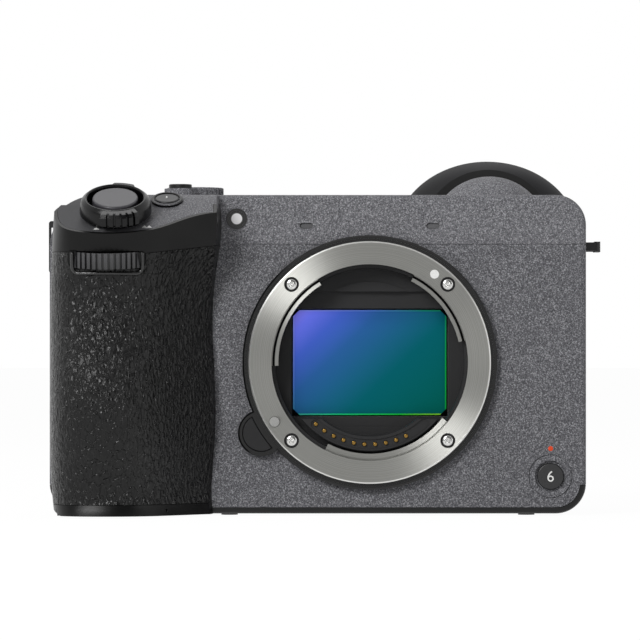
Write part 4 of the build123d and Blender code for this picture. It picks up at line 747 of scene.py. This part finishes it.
# Painted highlight on the ridge tops, painted shade in the gaps between them.
ridge_highlight_share = spread(tree, from_hub, 0.0, 1.0, start=0.0092, end=0.0101)
ridge_highlight = mixed(tree, grain(tree, place, 6000.0), tone(44, 44, 45), tone(80, 80, 82))
tree.links.new(mixed(tree, ridge_highlight_share, tone(4, 4, 4), ridge_highlight), shader.inputs["Base Color"])
coat_node(dial_metal, "front_dial")

# Dial window lip: a rounded bead of glossy black plastic frames the window's sides and foot. It is half sunk in the
# grip's curved front, and moulded with it.


def met(piece, x, z, start=-70.0):
    """Depth in mm at which a ray towards +Y, at each x and at height z, first meets the CAD piece."""
    spots = [piece.ray_cast((each / 1000, start / 1000, z / 1000), (0, 1, 0))[1] for each in x]
    return np.array([1000 * spot.y for spot in spots])


def bead(path, radius, sides=12):
    """Grid of a round tube along a path of points in mm: each ring stands square to the path, and its ends close
    to points."""
    ahead = np.gradient(path, axis=0)
    ahead /= np.linalg.norm(ahead, axis=1, keepdims=True)
    side = np.cross(ahead, (0.0, 1.0, 0.0))
    side /= np.linalg.norm(side, axis=1, keepdims=True)
    rise = np.cross(side, ahead)
    thick = np.full(len(path), radius)
    thick[[0, -1]] = 0
    turn = np.linspace(0, 2 * math.pi, sides + 1)[None, :, None]
    ring = side[:, None] * np.cos(turn) + rise[:, None] * np.sin(turn)
    return (path[:, None] + thick[:, None, None] * ring) / 1000


window_middle = -62.15
window_half = 8.35
window_top = 63.2
window_foot = 58.0
window_round = 1.6
window_lean = 0.38
lip_radius = 0.45
lip_proud = 0.1
arc = np.linspace(0, math.pi / 2, 10)
leg_z = np.linspace(window_top, window_foot + window_round, 10)[:-1]
corner_x = window_half - window_round * (1 - np.cos(arc))
corner_z = window_foot + window_round * (1 - np.sin(arc))
foot_x = np.linspace(-corner_x[-1], corner_x[-1], 30)[1:-1]
left_x = np.concatenate((np.full(len(leg_z), -window_half), -corner_x))
left_z = np.concatenate((leg_z, corner_z))
lip_x = window_middle + np.concatenate((left_x, foot_x, -left_x[::-1]))
lip_z = np.concatenate((left_z, np.full(len(foot_x), window_foot), left_z[::-1]))
lip_y = met(nodes["grip_skin"], lip_x, window_foot) - window_lean * (lip_z - window_foot) - lip_proud
lip_black = moulded("lip_black", tone(26, 26, 26), roughness=0.2, depth=0.00001, mottle=0.1, gloss=0.6)
shell("dial_window_lip", [bead(np.stack((lip_x, lip_y, lip_z), 1), lip_radius)], lip_black, "body", crease=60.0)

# Small buttons: moulded black caps on springs. The one on the deck has a raised lip round it and a printed tick,
# the one low on the front a printed figure with a red dot above it, and the lens release is a plain half disc.
grip_cap, tree, shader, place = blank("grip_button_black", roughness=0.35, gloss=0.4)
fine = grain(tree, place, 5000.0)
tree.links.new(two_tones(tree, fine, (34, 34, 35), (46, 46, 47)), shader.inputs["Base Color"])
relief(tree, shader, fine, depth=0.00001, strength=0.5)
coat_node(grip_cap, "grip_button", "front_button")
release_black = moulded("release_black", tone(24, 24, 25), roughness=0.4)
coat_node(release_black, "lens_release_button")

button_x, button_y = -48.5, -29.0
button_middle = (button_x, button_y, deck_middle[2] + (button_y - deck_middle[1]) * math.tan(slope))
button_lip = [(3.0, -0.2), (3.0, 0.5), (3.2, 0.66), (3.5, 0.66), (3.76, 0.5), (3.8, -0.2), (3.0, -0.2)]
shell("grip_button_lip", [turned(button_lip, button_middle, *deck_face)], lever_black, "body")
tick_u, tick_v = np.array([-0.26, 0.06, 0.06, -0.26]), np.array([-0.1, -0.1, 0.75, 0.75])
tick = plaque(tick_u, tick_v, low=0.8, high=0.915, centre=button_middle, face=deck_face)
shell("grip_button_tick", [tick], marking, "grip_key")

figure_size = 0.0037
figure_proud = 0.00003
figure = bpy.data.curves.new("figure", "FONT")
figure.body = "6"
figure.size = figure_size
figure.extrude = figure_proud
figure.align_x = "CENTER"
figure.align_y = "CENTER"
figure.resolution_u = 6
drawn = bpy.data.objects.new("figure", figure)
scene.collection.objects.link(drawn)
bpy.context.view_layer.update()
digit_mesh = bpy.data.meshes.new_from_object(drawn)
bpy.data.objects.remove(drawn)
flat = np.zeros(len(digit_mesh.vertices) * 3)
digit_mesh.vertices.foreach_get("co", flat)
flat = flat.reshape(-1, 3)
flat[:, :2] -= (flat[:, :2].min(0) + flat[:, :2].max(0)) / 2
button_low, button_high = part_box("front_button")
set_in = np.stack(
    (
        flat[:, 0] + (button_low[0] + button_high[0]) / 2,
        button_low[1] - flat[:, 2],
        flat[:, 1] + (button_low[2] + button_high[2]) / 2,
    ),
    1,
)
digit_mesh.vertices.foreach_set("co", set_in.ravel())
digit_mesh.update()
digit_mesh.materials.clear()
digit_mesh.materials.append(marking)
digit = bpy.data.objects.new("button_figure", digit_mesh)
scene.collection.objects.link(digit)
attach(digit, "front_key")

red_mark = moulded("red_marking", tone(214, 70, 30))
cover_y = 1000 * front_y
dot = [(0, 0.04), (0.45, 0.035), (0.6, 0.0), (0.6, -0.2), (0, -0.2)]
shell("red_dot", [turned(dot, (43.7, cover_y, 16.1), *front_face, steps=32)], red_mark, "body")

# Strap lugs and thread bushes: stamped loops and turned bushes of dark plated steel, pressed into the covers and
# into the base.
plated = moulded("plated_fittings", tone(28, 28, 29), roughness=0.35)
coat_node(plated, "thread_bushes", "strap_lugs")

# Focus lamp: a pale moulded diffuser in a black ring, clipped into a hole of the top cover's front. The ring and
# the disc are one moulding, painted black round the disc.
lamp_low, lamp_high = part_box("focus_lamp")
lamp_middle = ((lamp_low[0] + lamp_high[0]) / 2, lamp_low[1], (lamp_low[2] + lamp_high[2]) / 2)
lamp_radius = 0.0026
lamp_lens, tree, shader, place = blank("lamp_diffuser", roughness=0.3)
from_middle = vector_step(tree, "LENGTH", vector_step(tree, "SUBTRACT", place, lamp_middle))
pale, dark = tone(222, 221, 222), tone(20, 20, 20)
lamp_stops = [(0.0, pale), (0.48, pale), (0.53, dark), (1.0, tone(12, 12, 12))]
lamp_rings = ramp(tree, spread(tree, from_middle, 0.0, 1.0, end=lamp_radius), lamp_stops)
tree.links.new(lamp_rings, shader.inputs["Base Color"])
relief(tree, shader, grain(tree, place, 4000.0), depth=0.00001, strength=0.3)
coat_node(lamp_lens, "focus_lamp")

# Microphone meshes: two strips of dark woven mesh with round ends, glued into the slots of the top cover's front.
# They lie just under its face.
mesh_half = 0.95
mesh_round = 0.62
half_turn = np.linspace(-math.pi / 2, math.pi / 2, 12)
right_u, right_v = mesh_half + mesh_round * np.cos(half_turn), mesh_round * np.sin(half_turn)
mesh_u, mesh_v = np.concatenate((right_u, -right_u)), np.concatenate((right_v, -right_v))
mesh_places = [(x, cover_y, 69.88) for x in (-15.2, 15.4)]
mesh_grey = moulded(
    "microphone_mesh", tone(84, 84, 86), roughness=0.6, grain_scale=9000.0, depth=0.00005, mottle=0.3
)
slots = [plaque(mesh_u, mesh_v, low=-1.0, high=-0.45, centre=m, face=front_face) for m in mesh_places]
shell("microphone_meshes", slots, mesh_grey, "body")

# Finder and monitor: a ground and coated eyepiece, a soft rubber eyecup pushed over its frame, and a black glass
# panel glued into the monitor's housing. The glass is polished and slightly smeared.
eye_glass, tree, shader, place = blank("eyepiece_glass")
smear = grain(tree, place, 90.0, detail=3.0)
tree.links.new(two_tones(tree, smear, (10, 12, 16), (16, 18, 24)), shader.inputs["Base Color"])
tree.links.new(spread(tree, smear, 0.04, 0.09), shader.inputs["Roughness"])
coat_node(eye_glass, "eyepiece_lens", "monitor_glass")
rubber = moulded("eyecup_rubber", tone(28, 28, 30), roughness=0.65, grain_scale=3000.0, depth=0.00004)
coat_node(rubber, "eyecup")
